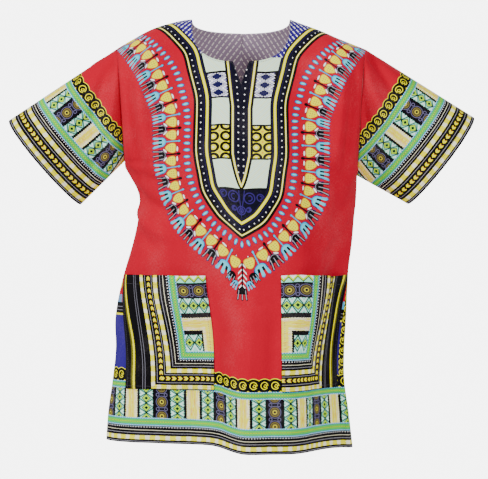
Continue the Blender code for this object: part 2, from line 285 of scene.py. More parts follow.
@dataclass
class BodyForm:
    """The surface that the front and the back follow, worked out from the shirt's sizes."""

    shoulder_x: float = 0.225
    shoulder_drop: float = 0.055
    shoulder_bends: tuple[float, float] = (1.6, 1.0)
    neck_x: float = 0.088
    neck_drops: tuple[float, float] = (0.083, 0.020)
    neck_power: float = 2.8
    slit_bottom: float = -0.123
    slit_half_width: float = 0.014
    armpit_z: float = -0.268
    armpit_tilt: float = 0.013
    armhole_bulge: float = 0.064
    hem_z: float = -0.768
    hem_lift_left: float = 0.014
    section_powers: tuple[float, float] = (1.8, 2.5)
    chest_power: float = 1.7
    pocket_inner: float = 0.069
    pocket_outer: float = 0.236
    pocket_shares: tuple[float, float] = (0.17, 0.81)
    pocket_top: float = -0.459
    pocket_bottom: float = -0.660
    points: int = 181
    section_step: float = 0.003
    pocket_ease: float = 0.09
    halvings: int = 26

    def level_size(self, name: str, z: float) -> float:
        """Reads a column of the table of levels.

        Args:
            name: The column.
            z: The height.

        Returns:
            The size there, on a smooth curve through the table's rows.
        """
        knots = np.array([row.z for row in LEVELS])
        values = np.array([getattr(row, name) for row in LEVELS])
        slopes = np.gradient(values, knots)
        i = int(np.clip(np.searchsorted(knots, z) - 1, 0, len(knots) - 2))
        span = knots[i + 1] - knots[i]
        t = min(max((z - knots[i]) / span, 0.0), 1.0)
        smooth = t * t * (3 - 2 * t) * (values[i + 1] - values[i])
        bend = span * t * (1 - t) * (slopes[i] * (1 - t) - slopes[i + 1] * t)
        return values[i] + smooth + bend

    def fold_rise(self, side: Side, along: np.ndarray, z: float) -> np.ndarray:
        """Works out how far the folds move the cloth outwards.

        Args:
            side: The panel.
            along: Distances along the cloth from its middle line.
            z: The height.

        Returns:
            The move at each distance.
        """
        total = np.zeros_like(along)
        for fold in FOLDS[side]:
            down = eased((fold.top_z - z) / (fold.top_z - fold.full_z))
            start = fold.from_top + (fold.from_low - fold.from_top) * down
            end = fold.to_top + (fold.to_low - fold.to_top) * down
            near = (along - start) / fold.from_flank
            far = (end - along) / fold.to_flank
            total += fold.rise * down * eased(0.5 + near) * eased(0.5 + far)
        return total

    def level_line(self, side: Side, z: float) -> tuple[np.ndarray, np.ndarray]:
        """Draws the body's section at one height, from its left seam to its right one.

        Args:
            side: The panel.
            z: The height.

        Returns:
            The section's points, and their distances along the cloth from its middle line.
        """
        left, right = self.level_size("left", z), self.level_size("right", z)
        depth = self.level_size("front" if side is Side.FRONT else "back", z)
        flat, rounded = self.section_powers
        across = np.sin(np.linspace(-math.pi / 2, math.pi / 2, self.points))
        across = powered(across, 1 - 0.3 * np.abs(across))
        x = (right + left) / 2 + (right - left) / 2 * across
        y = depth * (1 - np.abs(across) ** flat) ** (1 / rounded)
        middle = self.level_size("middle", z)

        def along_of(line: np.ndarray) -> np.ndarray:
            """Returns distances along the line, from where it crosses the middle line."""
            length = lengths_along(line)
            return length - np.interp(middle, line[:, 0], length)

        plain = along_of(np.stack([x, y], axis=1))
        ends = eased(np.minimum(plain - plain[0], plain[-1] - plain) / 0.05)
        y = y + self.fold_rise(side, plain, z) * ends
        line = np.stack([x, y], axis=1)
        return np.stack([x, side.value * y], axis=1), along_of(line)

    @functools.cached_property
    def sections(self) -> dict[Side, list[tuple[np.ndarray, np.ndarray]]]:
        """Sections every 3 mm from just below the hem to above the armpits, for both panels."""
        return {side: [self.level_line(side, z) for z in self.section_heights] for side in Side}

    @functools.cached_property
    def section_heights(self) -> np.ndarray:
        """The heights of the ready-made sections."""
        return np.arange(self.hem_z - 0.006, self.armpit_z + 0.030, self.section_step)

    def below_armpit(self, side: Side, share: float, z: float) -> np.ndarray:
        """Finds a point of the body's surface from hem to armpit.

        Args:
            side: The panel.
            share: The column, -1 at the left seam and 1 at the right one.
            z: The height.

        Returns:
            The point.
        """
        place = (z - self.section_heights[0]) / self.section_step
        i = int(np.clip(place, 0, len(self.section_heights) - 2))
        mix = place - i
        ends = []
        for line, along in self.sections[side][i : i + 2]:
            half = abs(along[0] if share < 0 else along[-1])
            straight = 0.0
            if side is Side.FRONT:
                straight = eased((self.pocket_top - z) / self.pocket_ease + 1)
            knots = [0.0, *self.pocket_shares, 1.0]
            places = [0.0, self.pocket_inner / half, self.pocket_outer / half, 1.0]
            moved = np.interp(abs(share), knots, places)
            at = math.copysign(half, share) * (abs(share) + (moved - abs(share)) * straight)
            ends.append([np.interp(at, along, line[:, 0]), np.interp(at, along, line[:, 1])])
        low, high = np.array(ends)
        return np.array([*(low + (high - low) * mix), z])

    @property
    def neck_share(self) -> float:
        """Returns the column where the neck meets the shoulder."""
        return self.neck_x / self.shoulder_x

    def armpit_at(self, share: float) -> float:
        """Returns the armpits' height, which is tilted from left to right."""
        return self.armpit_z - self.armpit_tilt * share

    def shoulder_z(self, x: float) -> float:
        """Returns the height of the shoulder line, carried on over the neck."""
        past = (abs(x) - self.neck_x) / (self.shoulder_x - self.neck_x)
        return -self.shoulder_drop * powered(past, self.shoulder_bends[0 if x < 0 else 1])

    def above_armpit(self, side: Side, share: float, rise: float, base: np.ndarray) -> np.ndarray:
        """Finds a point of the chest or upper back.

        Args:
            side: The panel.
            share: The column.
            rise: 0 at the armpit and 1 on the shoulder line.
            base: The column's point at the armpit.

        Returns:
            The point.
        """
        turn = rise * math.pi / 2
        up, out = math.sin(turn) ** (2 / self.chest_power), math.cos(turn) ** (2 / self.chest_power)
        top_x = self.shoulder_x * share
        x = base[0] + (top_x - base[0]) * rise**1.5
        z = base[2] + (self.shoulder_z(top_x) - base[2]) * up
        wave = max(math.sin(math.pi * rise), 0.0) ** 0.8
        bulge = self.armhole_bulge * wave * eased((abs(share) - 0.35) / 0.65)
        return np.array([x, base[1] * out + side.value * bulge, z])

    def neckline_z(self, side: Side, x: float) -> float:
        """Works out the height of the neck's edge, with the front's slit.

        Args:
            side: The panel.
            x: Distance to the right of the middle.

        Returns:
            The height.
        """
        across = min(abs(x) / self.neck_x, 1.0)
        drop = self.neck_drops[0 if side is Side.FRONT else 1]
        round_neck = -drop * (1 - across**self.neck_power) ** (1 / self.neck_power)
        if side is Side.BACK:
            return round_neck
        slit = self.slit_bottom + (round_neck - self.slit_bottom) * abs(x) / self.slit_half_width
        return min(round_neck, slit)

    def top_rise(self, side: Side, share: float, base: np.ndarray) -> float:
        """Works out how far up its column the cloth goes.

        Args:
            side: The panel.
            share: The column.
            base: The column's point at the armpit.

        Returns:
            1 for the shoulder line, or less where the neckline cuts the column off.
        """
        if abs(share) >= self.neck_share - 1e-4:
            return 1.0
        low, high = 0.0, 1.0
        for _ in range(self.halvings):
            middle = (low + high) / 2
            point = self.above_armpit(side, share, middle, base)
            if point[2] < self.neckline_z(side, point[0]):
                low = middle
            else:
                high = middle
        return low

    def hem_at(self, share: float) -> float:
        """Returns the height of the hem, which is lifted on the left."""
        lift = 0.75 * eased(0.1 - share / 0.22) + 0.25 * eased(-share)
        return self.hem_z + self.hem_lift_left * lift

    def height_at(self, share: float, row_z: float) -> float:
        """Works out a row's height on a column: level beside the pockets, tilted elsewhere.

        Args:
            share: The column.
            row_z: The row's height where it isn't tilted.

        Returns:
            The height.
        """
        below, above = self.pocket_bottom, self.pocket_top
        to_hem = np.clip((below - row_z) / (below - self.hem_z), 0.0, 1.0)
        to_armpit = np.clip((row_z - above) / (self.armpit_z - above), 0.0, 1.0)
        lift = (self.hem_at(share) - self.hem_z) * to_hem
        return row_z + lift + (self.armpit_at(share) - self.armpit_z) * to_armpit


@dataclass
class PanelGrid:
    """A body panel's fine grid, with the flat cloth's own measures at every point.

    Rows run from hem to top and columns from left to right. u is the distance across the cloth
    from its middle line and h the distance up it from the hem.
    """

    form: BodyForm
    side: Side
    shares: np.ndarray
    rows_low: int = 20
    rows_pocket: int = 38
    rows_waist: int = 36
    rows_chest: int = 62
    samples: int = 260
    points: np.ndarray = field(init=False)
    u: np.ndarray = field(init=False)
    h: np.ndarray = field(init=False)
    outward: np.ndarray = field(init=False)

    def __post_init__(self) -> None:
        """Works out the grid's points, its flat measures and its creased surface."""
        heights = self.row_heights()
        total = len(heights) + self.rows_chest
        self.points = np.zeros((total, len(self.shares), 3))
        full = np.zeros_like(self.points)
        for j, share in enumerate(self.shares):
            for i, row_z in enumerate(heights):
                z = self.form.height_at(share, row_z)
                self.points[i, j] = self.form.below_armpit(self.side, share, z)
            base = self.points[len(heights) - 1, j]
            top = self.form.top_rise(self.side, share, base)
            full[: len(heights), j] = self.points[: len(heights), j]
            for k in range(1, self.rows_chest + 1):
                for grid, whole in ((self.points, top), (full, 1.0)):
                    rise = whole * (k / self.rows_chest)
                    made = self.form.above_armpit(self.side, share, rise, base)
                    grid[len(heights) - 1 + k, j] = made
        self.measure(full)
        self.part_seams()
        self.outward = self.normals()
        self.crease()

    def row_heights(self) -> np.ndarray:
        """Works out the rows from hem to armpit. Two are the pocket's edges.

        Returns:
            Their heights.
        """
        form = self.form
        return np.concatenate(
            [
                np.linspace(form.hem_z, form.pocket_bottom, self.rows_low + 1)[:-1],
                np.linspace(form.pocket_bottom, form.pocket_top, self.rows_pocket + 1)[:-1],
                np.linspace(form.pocket_top, form.armpit_z, self.rows_waist + 1),
            ]
        )

    def measure(self, full: np.ndarray) -> None:
        """Lays the cloth flat: finds u and h at each point.

        Args:
            full: The grid with every column carried on to the shoulder line, past the neckline.
        """
        rows, columns = full.shape[:2]
        heights = np.array([lengths_along(full[:, j]) for j in range(columns)]).T
        middle = columns // 2
        reach = np.linspace(0.0, heights.max(), self.samples)
        level = np.array(
            [[np.interp(reach, heights[:, j], full[:, j, k]) for k in range(3)] for j in range(columns)]
        )
        steps = np.linalg.norm(np.diff(level, axis=0), axis=1)
        across = np.zeros((columns, len(reach)))
        across[middle + 1 :] = np.cumsum(steps[middle:], axis=0)
        across[:middle] = -np.cumsum(steps[:middle][::-1], axis=0)[::-1]
        self.u, self.h = np.zeros((rows, columns)), np.zeros((rows, columns))
        for j in range(columns):
            self.h[:, j] = lengths_along(self.points[:, j])
            self.u[:, j] = np.interp(self.h[:, j], reach, across[j])

    def part_seams(self, gap: float = 0.0003) -> None:
        """Parts the panel from its neighbours at the side seams and the shoulder seams.

        Args:
            gap: The gap that is left at a seam.
        """
        self.points[:, [0, -1], 1] += self.side.value * gap / 2
        on_shoulder = np.abs(self.shares) >= self.form.neck_share - 1e-4
        self.points[-1, on_shoulder, 1] = self.side.value * gap / 2

    def normals(self) -> np.ndarray:
        """Returns the outward unit normal at each point."""
        upwards, across = np.gradient(self.points, axis=(0, 1))
        return unit_normals(across, upwards, -self.side.value)

    def crease(self) -> None:
        """Moves the cloth out and in along its creases, which fade out at its seams and its top edge.
        """
        rows, columns = self.u.shape
        edge = np.minimum(np.arange(columns), np.arange(columns)[::-1])
        keep = eased(edge / 4)[None, :] * np.ones((rows, 1))
        top = eased((rows - 1 - np.arange(rows)) / 4)[:, None]
        lift = sum(crease.lift(self.u, self.h) for crease in CREASES[self.side])
        ripple = 0.0009 * np.sin(self.u * 61 + 1.3 * np.sin(self.h * 23)) * np.sin(self.h * 17 + 1)
        self.points += self.outward * ((lift + ripple) * keep * top)[..., None]
        self.outward = self.normals()

    def flat_place(self, x: float, z: float) -> tuple[float, float]:
        """Finds the flat measures of the point that is seen at x and z from the front or back.

        Args:
            x: Distance to the right of the middle.
            z: Height.

        Returns:
            u and h of the nearest point.
        """
        off = np.hypot(self.points[..., 0] - x, self.points[..., 2] - z)
        i, j = np.unravel_index(np.argmin(off), off.shape)
        return float(self.u[i, j]), float(self.h[i, j])


@dataclass(frozen=True)
class GuideLine:
    """A smooth line on the flat cloth that a row of the print follows, the same on both halves.

    Its points are places seen from the front, left of the middle, from the shoulder down to the
    middle line.
    """

    places: tuple[tuple[float, float], ...]
    step: float = 0.002
    rounds: int = 45

    def measure(self, panel: PanelGrid, smooth: int) -> tuple[np.ndarray, np.ndarray]:
        """Measures every point of a panel from the line.

        Args:
            panel: The panel that the line lies on.
            smooth: How many times the line's point on the middle line is rounded off.

        Returns:
            Distances along the line from the middle, and distances off it, below 0 inside.
        """
        flat = np.array([panel.flat_place(x, z) for x, z in self.places])
        flat[:, 0] = np.abs(flat[:, 0])
        flat[-1, 0] = 0.0
        first = flat[0] + (flat[0] - flat[1]) * 1.5
        flat = np.vstack([first, flat])[::-1]
        length = lengths_along(flat)
        even = np.arange(0.0, length[-1], self.step)
        line = np.stack([np.interp(even, length, flat[:, k]) for k in (0, 1)], axis=1)
        line = smoothed(line, self.rounds)
        mirrored = np.vstack([line[:0:-1] * [-1, 1], line])
        line = smoothed(mirrored, smooth)[len(line) - 1 :]
        line[0, 0] = 0.0
        start, run = line[:-1], np.diff(line, axis=0)
        size = np.maximum(np.linalg.norm(run, axis=1), 1e-9)
        at = np.stack([np.abs(panel.u).ravel(), panel.h.ravel()], axis=1)
        best = np.full(len(at), np.inf)
        along, off = np.zeros(len(at)), np.zeros(len(at))
        done = np.concatenate([[0.0], np.cumsum(size)])
        for i in range(len(run)):
            gap = at - start[i]
            part = np.clip((gap @ run[i]) / size[i] ** 2, 0.0, 1.0)
            rest = gap - part[:, None] * run[i]
            away = np.linalg.norm(rest, axis=1)
            nearer = away < best
            turn = run[i][0] * gap[:, 1] - run[i][1] * gap[:, 0]
            best = np.where(nearer, away, best)
            along = np.where(nearer, done[i] + part * size[i], along)
            off = np.where(nearer, away * np.where(turn > 0, -1.0, 1.0), off)
        return along.reshape(panel.u.shape), off.reshape(panel.u.shape)


# The guide lines' points are x and z, in metres.
SHIELD_EDGE = {
    Side.FRONT: GuideLine(
        (
            (-0.152, -0.020), (-0.103, -0.069), (-0.097, -0.094), (-0.084, -0.148),
            (-0.083, -0.245), (-0.079, -0.282), (-0.071, -0.312), (-0.058, -0.337),
            (-0.040, -0.360), (-0.020, -0.379), (0.0, -0.3965),
        )
    ),
    Side.BACK: GuideLine(
        (
            (-0.152, -0.020), (-0.105, -0.066), (-0.096, -0.100), (-0.080, -0.150),
            (-0.050, -0.190), (0.0, -0.228),
        )
    ),
}
DROP_LINE = {
    Side.FRONT: GuideLine(
        (
            (-0.163, -0.043), (-0.145, -0.060), (-0.127, -0.078), (-0.116, -0.093),
            (-0.111, -0.109), (-0.104, -0.135), (-0.096, -0.162), (-0.0945, -0.185),
            (-0.0945, -0.251), (-0.0905, -0.283), (-0.084, -0.311), (-0.072, -0.335),
            (-0.0595, -0.355), (-0.043, -0.3745), (-0.0235, -0.3915), (0.0, -0.406),
        )
    ),
    Side.BACK: GuideLine(
        (
            (-0.166, -0.031), (-0.122, -0.075), (-0.112, -0.110), (-0.094, -0.158),
            (-0.062, -0.200), (0.0, -0.240),
        )
    ),
}
SPRIG_LINE = {
    Side.FRONT: GuideLine(
        (
            (-0.189, -0.047), (-0.157, -0.083), (-0.137, -0.128), (-0.123, -0.173),
            (-0.1235, -0.260), (-0.1185, -0.294), (-0.115, -0.315), (-0.107, -0.336),
            (-0.095, -0.355), (-0.079, -0.375), (-0.0605, -0.393), (-0.039, -0.412),
            (-0.016, -0.431), (0.0, -0.442),
        )
    ),
    Side.BACK: GuideLine(
        (
            (-0.189, -0.047), (-0.160, -0.083), (-0.140, -0.128), (-0.118, -0.175),
            (-0.082, -0.220), (-0.042, -0.252), (0.0, -0.268),
        )
    ),
}


class Num:
    """A number that varies over a surface: a socket whose sums become Math nodes."""

    def __init__(self, inks: "Inks", value: bpy.types.NodeSocket | float) -> None:
        """Keeps the socket or the plain number."""
        self.inks = inks
        self.value = value

    def math(self, operation: str, *others: "Num | float") -> "Num":
        """Adds a Math node.

        Args:
            operation: The node's operation.
            others: Its further inputs.

        Returns:
            The node's result.
        """
        values = [self.value, *(o.value if isinstance(o, Num) else o for o in others)]
        node = self.inks.node("ShaderNodeMath", {"operation": operation}, dict(enumerate(values)))
        return Num(self.inks, node.outputs[0])

    def __add__(self, other: "Num | float") -> "Num":
        """Returns the sum."""
        return self.math("ADD", other)

    __radd__ = __add__

    def __sub__(self, other: "Num | float") -> "Num":
        """Returns the difference."""
        return self.math("SUBTRACT", other)

    def __rsub__(self, other: float) -> "Num":
        """Returns other minus this."""
        return Num(self.inks, other).math("SUBTRACT", self)

    def __mul__(self, other: "Num | float") -> "Num":
        """Returns the product."""
        return self.math("MULTIPLY", other)

    __rmul__ = __mul__

    def __truediv__(self, other: "Num | float") -> "Num":
        """Returns the quotient."""
        return self.math("DIVIDE", other)

    def __abs__(self) -> "Num":
        """Returns the size without its sign."""
        return self.math("ABSOLUTE")

    def __lt__(self, other: "Num | float") -> "Num":
        """Returns 1 where this is less, and 0 elsewhere."""
        return self.math("LESS_THAN", other)

    def __gt__(self, other: "Num | float") -> "Num":
        """Returns 1 where this is more, and 0 elsewhere."""
        return self.math("GREATER_THAN", other)

    def near(self, centre: float, reach: float) -> "Num":
        """Returns 1 within that reach of the centre."""
        return self.math("COMPARE", centre, reach)

    def within(self, low: float, high: float) -> "Num":
        """Returns 1 between the two numbers."""
        return self.near((low + high) / 2, (high - low) / 2)

    def from_nearest(self, pitch: float) -> "Num":
        """Returns the distance from the nearest multiple of the pitch."""
        return self.math("PINGPONG", pitch / 2)

    def in_cell(self, pitch: float) -> "Num":
        """Returns the place in a repeat of that pitch, 0 at its middle."""
        return (self + pitch / 2).math("FLOORED_MODULO", pitch) - pitch / 2

    def low(self, other: "Num | float") -> "Num":
        """Returns the lesser."""
        return self.math("MINIMUM", other)

    def high(self, other: "Num | float") -> "Num":
        """Returns the greater."""
        return self.math("MAXIMUM", other)

    def sine(self) -> "Num":
        """Returns the sine."""
        return self.math("SINE")


def distance(x: Num, y: Num) -> Num:
    """Returns the distance of x and y from 0."""
    return (x * x + y * y).math("SQRT")


class Tint:
    """A colour that varies over a surface, built up by painting one colour over another."""

    def __init__(self, inks: "Inks", value: bpy.types.NodeSocket | Colour) -> None:
        """Keeps the socket or the plain colour."""
        self.inks = inks
        self.value = value if isinstance(value, bpy.types.NodeSocket) else (*value[:3], 1.0)

    def paint(self, colour: "Tint | Colour", mask: Num | float) -> "Tint":
        """Paints a colour over this one.

        Args:
            colour: What is painted.
            mask: 1 where it covers and 0 where it doesn't.

        Returns:
            The result.
        """
        top = colour if isinstance(colour, Tint) else Tint(self.inks, colour)
        factor = mask.value if isinstance(mask, Num) else mask
        settings = {"data_type": "RGBA", "clamp_factor": True}
        sockets = {0: factor, 6: self.value, 7: top.value}
        node = self.inks.node("ShaderNodeMix", settings, sockets)
        return Tint(self.inks, node.outputs[2])

    def stack(self, *layers: tuple["Tint | Colour", Num]) -> "Tint":
        """Paints layers over this colour, the first one lowest.

        Args:
            layers: Colours, each with where it covers.

        Returns:
            The result.
        """
        made = self
        for colour, mask in layers:
            made = made.paint(colour, mask)
        return made

    def nest(self, measure: Num, *steps: tuple[Colour, float]) -> "Tint":
        """Paints shapes one inside another, each where the measure is below its limit."""
        return self.stack(*((colour, measure < limit) for colour, limit in steps))

    def band(self, measure: Num, *bands: tuple[Colour, Band]) -> "Tint":
        """Paints bands, each where the measure lies between its two ends."""
        return self.stack(*((colour, measure.within(*ends)) for colour, ends in bands))


class Inks:
    """A material's node tree, and what the print's motifs are drawn with."""

    def __init__(self, name: str) -> None:
        """Starts a material with its shader left in place.

        Args:
            name: The material's name.
        """
        self.material = bpy.data.materials.new(name)
        self.material.use_nodes = True
        self.tree = self.material.node_tree
        self.shader = self.tree.nodes["Principled BSDF"]

    def node(
        self, kind: str, settings: dict | None = None, sockets: dict | None = None
    ) -> bpy.types.Node:
        """Adds a node.

        Args:
            kind: The node's type.
            settings: Its settings, set first.
            sockets: Values or links for its inputs, by number or name.

        Returns:
            The node.
        """
        made = self.tree.nodes.new(kind)
        for key, value in (settings or {}).items():
            setattr(made, key, value)
        for key, value in (sockets or {}).items():
            if isinstance(value, bpy.types.NodeSocket):
                self.tree.links.new(value, made.inputs[key])
            else:
                made.inputs[key].default_value = value
        return made

    def shade(self, values: dict) -> None:
        """Sets the shader's inputs.

        Args:
            values: What varies and the plain values, by the input's name.
        """
        for key, value in values.items():
            socket = self.shader.inputs[key]
            if isinstance(value, (Num, Tint)):
                self.tree.links.new(value.value, socket)
            else:
                socket.default_value = value

    def tint(self, colour: Colour) -> Tint:
        """Returns a plain colour to paint on."""
        return Tint(self, colour)

    def parts_of(self, socket: bpy.types.NodeSocket) -> list[Num]:
        """Returns the three numbers of a place."""
        parts = self.node("ShaderNodeSeparateXYZ", None, {0: socket})
        return [Num(self, part) for part in parts.outputs]

    def cloth_place(self, uv_map: str) -> list[Num]:
        """Returns the two numbers of one of the piece's own UV maps."""
        place = self.node("ShaderNodeUVMap", {"uv_map": uv_map})
        return self.parts_of(place.outputs[0])[:2]

    def noise(self, u: Num, h: Num, u_scale: float, h_scale: float, detail: float = 2.0) -> Num:
        """Adds soft noise over the flat cloth.

        Args:
            u: Distance across the cloth.
            h: Distance up the cloth.
            u_scale: How many bumps to a metre across.
            h_scale: How many bumps to a metre up.
            detail: How much finer noise is added.

        Returns:
            Numbers about 0.5.
        """
        scaled = {0: (u * u_scale).value, 1: (h * h_scale).value}
        place = self.node("ShaderNodeCombineXYZ", None, scaled)
        sockets = {"Vector": place.outputs[0], "Scale": 1.0, "Detail": detail}
        made = self.node("ShaderNodeTexNoise", {"noise_dimensions": "2D"}, sockets)
        return Num(self, made.outputs[0])


@dataclass(frozen=True)
class Palette:
    """The print's inks."""

    red: Colour = screen(188, 0, 38)
    black: Colour = screen(8, 6, 10)
    navy: Colour = screen(10, 9, 28)
    indigo: Colour = screen(22, 20, 72)
    blue: Colour = screen(46, 26, 126)
    purple: Colour = screen(50, 36, 108)
    mauve: Colour = screen(112, 106, 142)
    lavender: Colour = screen(136, 130, 196)
    line: Colour = screen(168, 166, 176)
    cyan: Colour = screen(30, 184, 232)
    green: Colour = screen(84, 206, 84)
    teal: Colour = screen(2, 44, 36)
    lime: Colour = screen(196, 232, 0)
    mint: Colour = screen(150, 244, 214)
    pale: Colour = screen(240, 255, 228)
    lemon: Colour = screen(250, 250, 150)
    yellow: Colour = screen(246, 236, 0)
    gold: Colour = screen(122, 108, 52)
    ochre: Colour = screen(190, 170, 20)
    olive: Colour = screen(120, 116, 30)
    orange: Colour = screen(232, 140, 16)
    brown: Colour = screen(96, 30, 20)
    wine: Colour = screen(110, 14, 60)
    cream: Colour = screen(255, 250, 214)
    white: Colour = screen(253, 253, 253)
    grey: Colour = screen(120, 118, 130)
    wrong_side: Colour = screen(222, 196, 196)


INK = Palette()


@dataclass(frozen=True)
class BorderBands:
    """Where the border's bands lie, from its edge inwards, in metres."""

    stripes: tuple[Band, ...] = ((0.0014, 0.0082), (0.0302, 0.0374))
    arrows: Band = (0.0168, 0.0232)
    arrow_pitch: float = 0.0104
    arrow_rim: Band = (-0.0034, 0.0030)
    arrow_head: Band = (-0.0024, 0.0030)
    dash_pitch: float = 0.0185
    dash_half: float = 0.0054
    thin_lines: tuple[float, ...] = (0.0124, 0.0267, 0.0418)
    thin_reach: float = 0.00034
    cream_line: float = 0.0468
    cream_reach: float = 0.0004
    dots: float = 0.0524
    dot_pitch: float = 0.0050
    dot_radius: float = 0.0009
    greens: tuple[Band, ...] = ((0.055, 0.0685), (0.120, 0.1325))
    tooth_pitch: float = 0.0046
    columns: Band = (0.0685, 0.120)
    column_width: float = 0.028
    column_half: float = 0.0122
    notch_pitch: float = 0.0042
    curls: Band = (0.1325, 0.156)
    curl_pitch: float = 0.0192
    curl_ring: Band = (0.0054, 0.0069)
    curl_middle: Band = (0.0016, 0.0031)
    scallop: float = 34.0
    scallop_rim: float = 0.0013


SLEEVE_BANDS = BorderBands(
    stripes=((0.0068, 0.0142), (0.0392, 0.0472)),
    arrows=(0.0236, 0.0304),
    thin_lines=(0.0040, 0.0190, 0.0350, 0.0512),
    cream_line=0.0556,
    dots=0.0606,
    greens=((0.0630, 0.0765), (0.1215, 0.1345)),
    columns=(0.0765, 0.1215),
    curls=(0.1345, 0.1570),
)


@dataclass(frozen=True)
class ShieldSizes:
    """The shield's bands, by how deep they lie inside its edge, and its heights above its tip.

    A scroll has its distance from the middle line, its height and its radius.
    """

    navy: Band = (0.0105, 0.0320)
    edge_line: Band = (0.0046, 0.0072)
    edge_hatch: Band = (0.0052, 0.0066)
    rims: tuple[Band, ...] = ((0.0180, 0.0196), (0.0288, 0.0300))
    inner_line: Band = (0.0220, 0.0270)
    inner_hatch: Band = (0.0238, 0.0252)
    hatch_pitch: float = 0.0032
    dots: float = 0.0132
    dot_pitch: float = 0.0116
    inside: float = 0.0300
    tilt: float = 0.10
    tip_top: float = 0.0870
    windows_low: float = 0.0850
    pale_windows: tuple[Band, ...] = ((0.0880, 0.1370), (0.1990, 0.2460))
    top_windows: Band = (0.2970, 0.3400)
    star_window: Band = (0.1400, 0.1960)
    star_pitch: float = 0.0187
    ikat_window: Band = (0.2490, 0.2930)
    ikat_middle: float = 0.2560
    shoulder_low: float = 0.3290
    strip_half: float = 0.0208
    scroll_line: float = 0.0010
    scrolls: tuple[tuple[float, float, float], ...] = (
        (0.0140, 0.0720, 0.0092),
        (0.0, 0.0500, 0.0070),
        (0.0330, 0.0740, 0.0060),
        (0.0130, 0.0520, 0.0040),
    )


@dataclass(frozen=True)
class RowSizes:
    """The rows outside the shield: their repeats and the sizes of their parts.

    Within wide_run of the middle line the repeats are further apart: their count rises more
    slowly, by the share slower on the line itself. The leaves are placed from the middle of
    every other sprig.
    """

    sprig_pitch: float = 0.0228
    lean: float = 0.08
    wide_run: float = 0.1600
    slower: float = 0.20
    fork_off: float = 0.0175
    fork_radius: float = 0.0087
    fork_rims: tuple[float, float] = (0.0006, -0.0002)
    fork_light: tuple[float, float] = (-0.0005, -0.0026)
    stem: Band = (-0.0150, 0.0090)
    stem_half: float = 0.0013
    lit_stem_half: float = 0.0009
    knob_radius: float = 0.0025
    lit_knob_radius: float = 0.0018
    floret_radii: tuple[float, float, float] = (0.0091, 0.0086, 0.0074)
    speckled_radius: float = 0.0064
    speck_pitch: float = 0.0040
    speck_radius: float = 0.0011
    lying_leaf: tuple[float, float] = (0.0088, -0.0124)
    slanting_leaf: tuple[float, float] = (0.0072, 0.0100)
    leaf_radii: tuple[float, float] = (0.0020, 0.0014)
    drop_pitch: float = 0.0118
    drop_radii: tuple[float, float] = (0.0037, 0.0028)
    drop_core: float = 0.0017


@dataclass(frozen=True)
class PocketSizes:
    """A pocket's print, from its outer edge and its bottom, and the strips beyond its bands."""

    outer_strip: float = 0.0490
    bands: float = 0.0685
    ribbon: Band = (0.0165, 0.0205)
    ribbon_shade: Band = (0.0125, 0.0215)
    lines: tuple[float, ...] = (0.0350, 0.0395)
    line_reach: float = 0.0005
    lozenge_low: float = 0.0160
    lozenge_high: float = 0.0812
    lozenge_strip: Band = (0.0690, 0.0945)
    medallions: float = 0.1075
    medallion_strip: Band = (0.0960, 0.1190)
    zigzag_low: float = 0.1215


@dataclass(frozen=True)
class SideSizes:
    """The print beside the pockets, by height above the hem."""

    inner: float = 0.2330
    top: float = 0.3080
    blue: Band = (0.0, 0.2250)
    yellow: Band = (0.2250, 0.2285)
    black: Band = (0.2285, 0.2480)
    cyan: Band = (0.2480, 0.2620)
    lines: tuple[float, ...] = (0.2340, 0.2400)
    floret: tuple[float, float] = (0.2560, 0.2800)
    curls: Band = (0.2400, 0.2560)
    curls_run: Band = (0.1300, 0.3450)


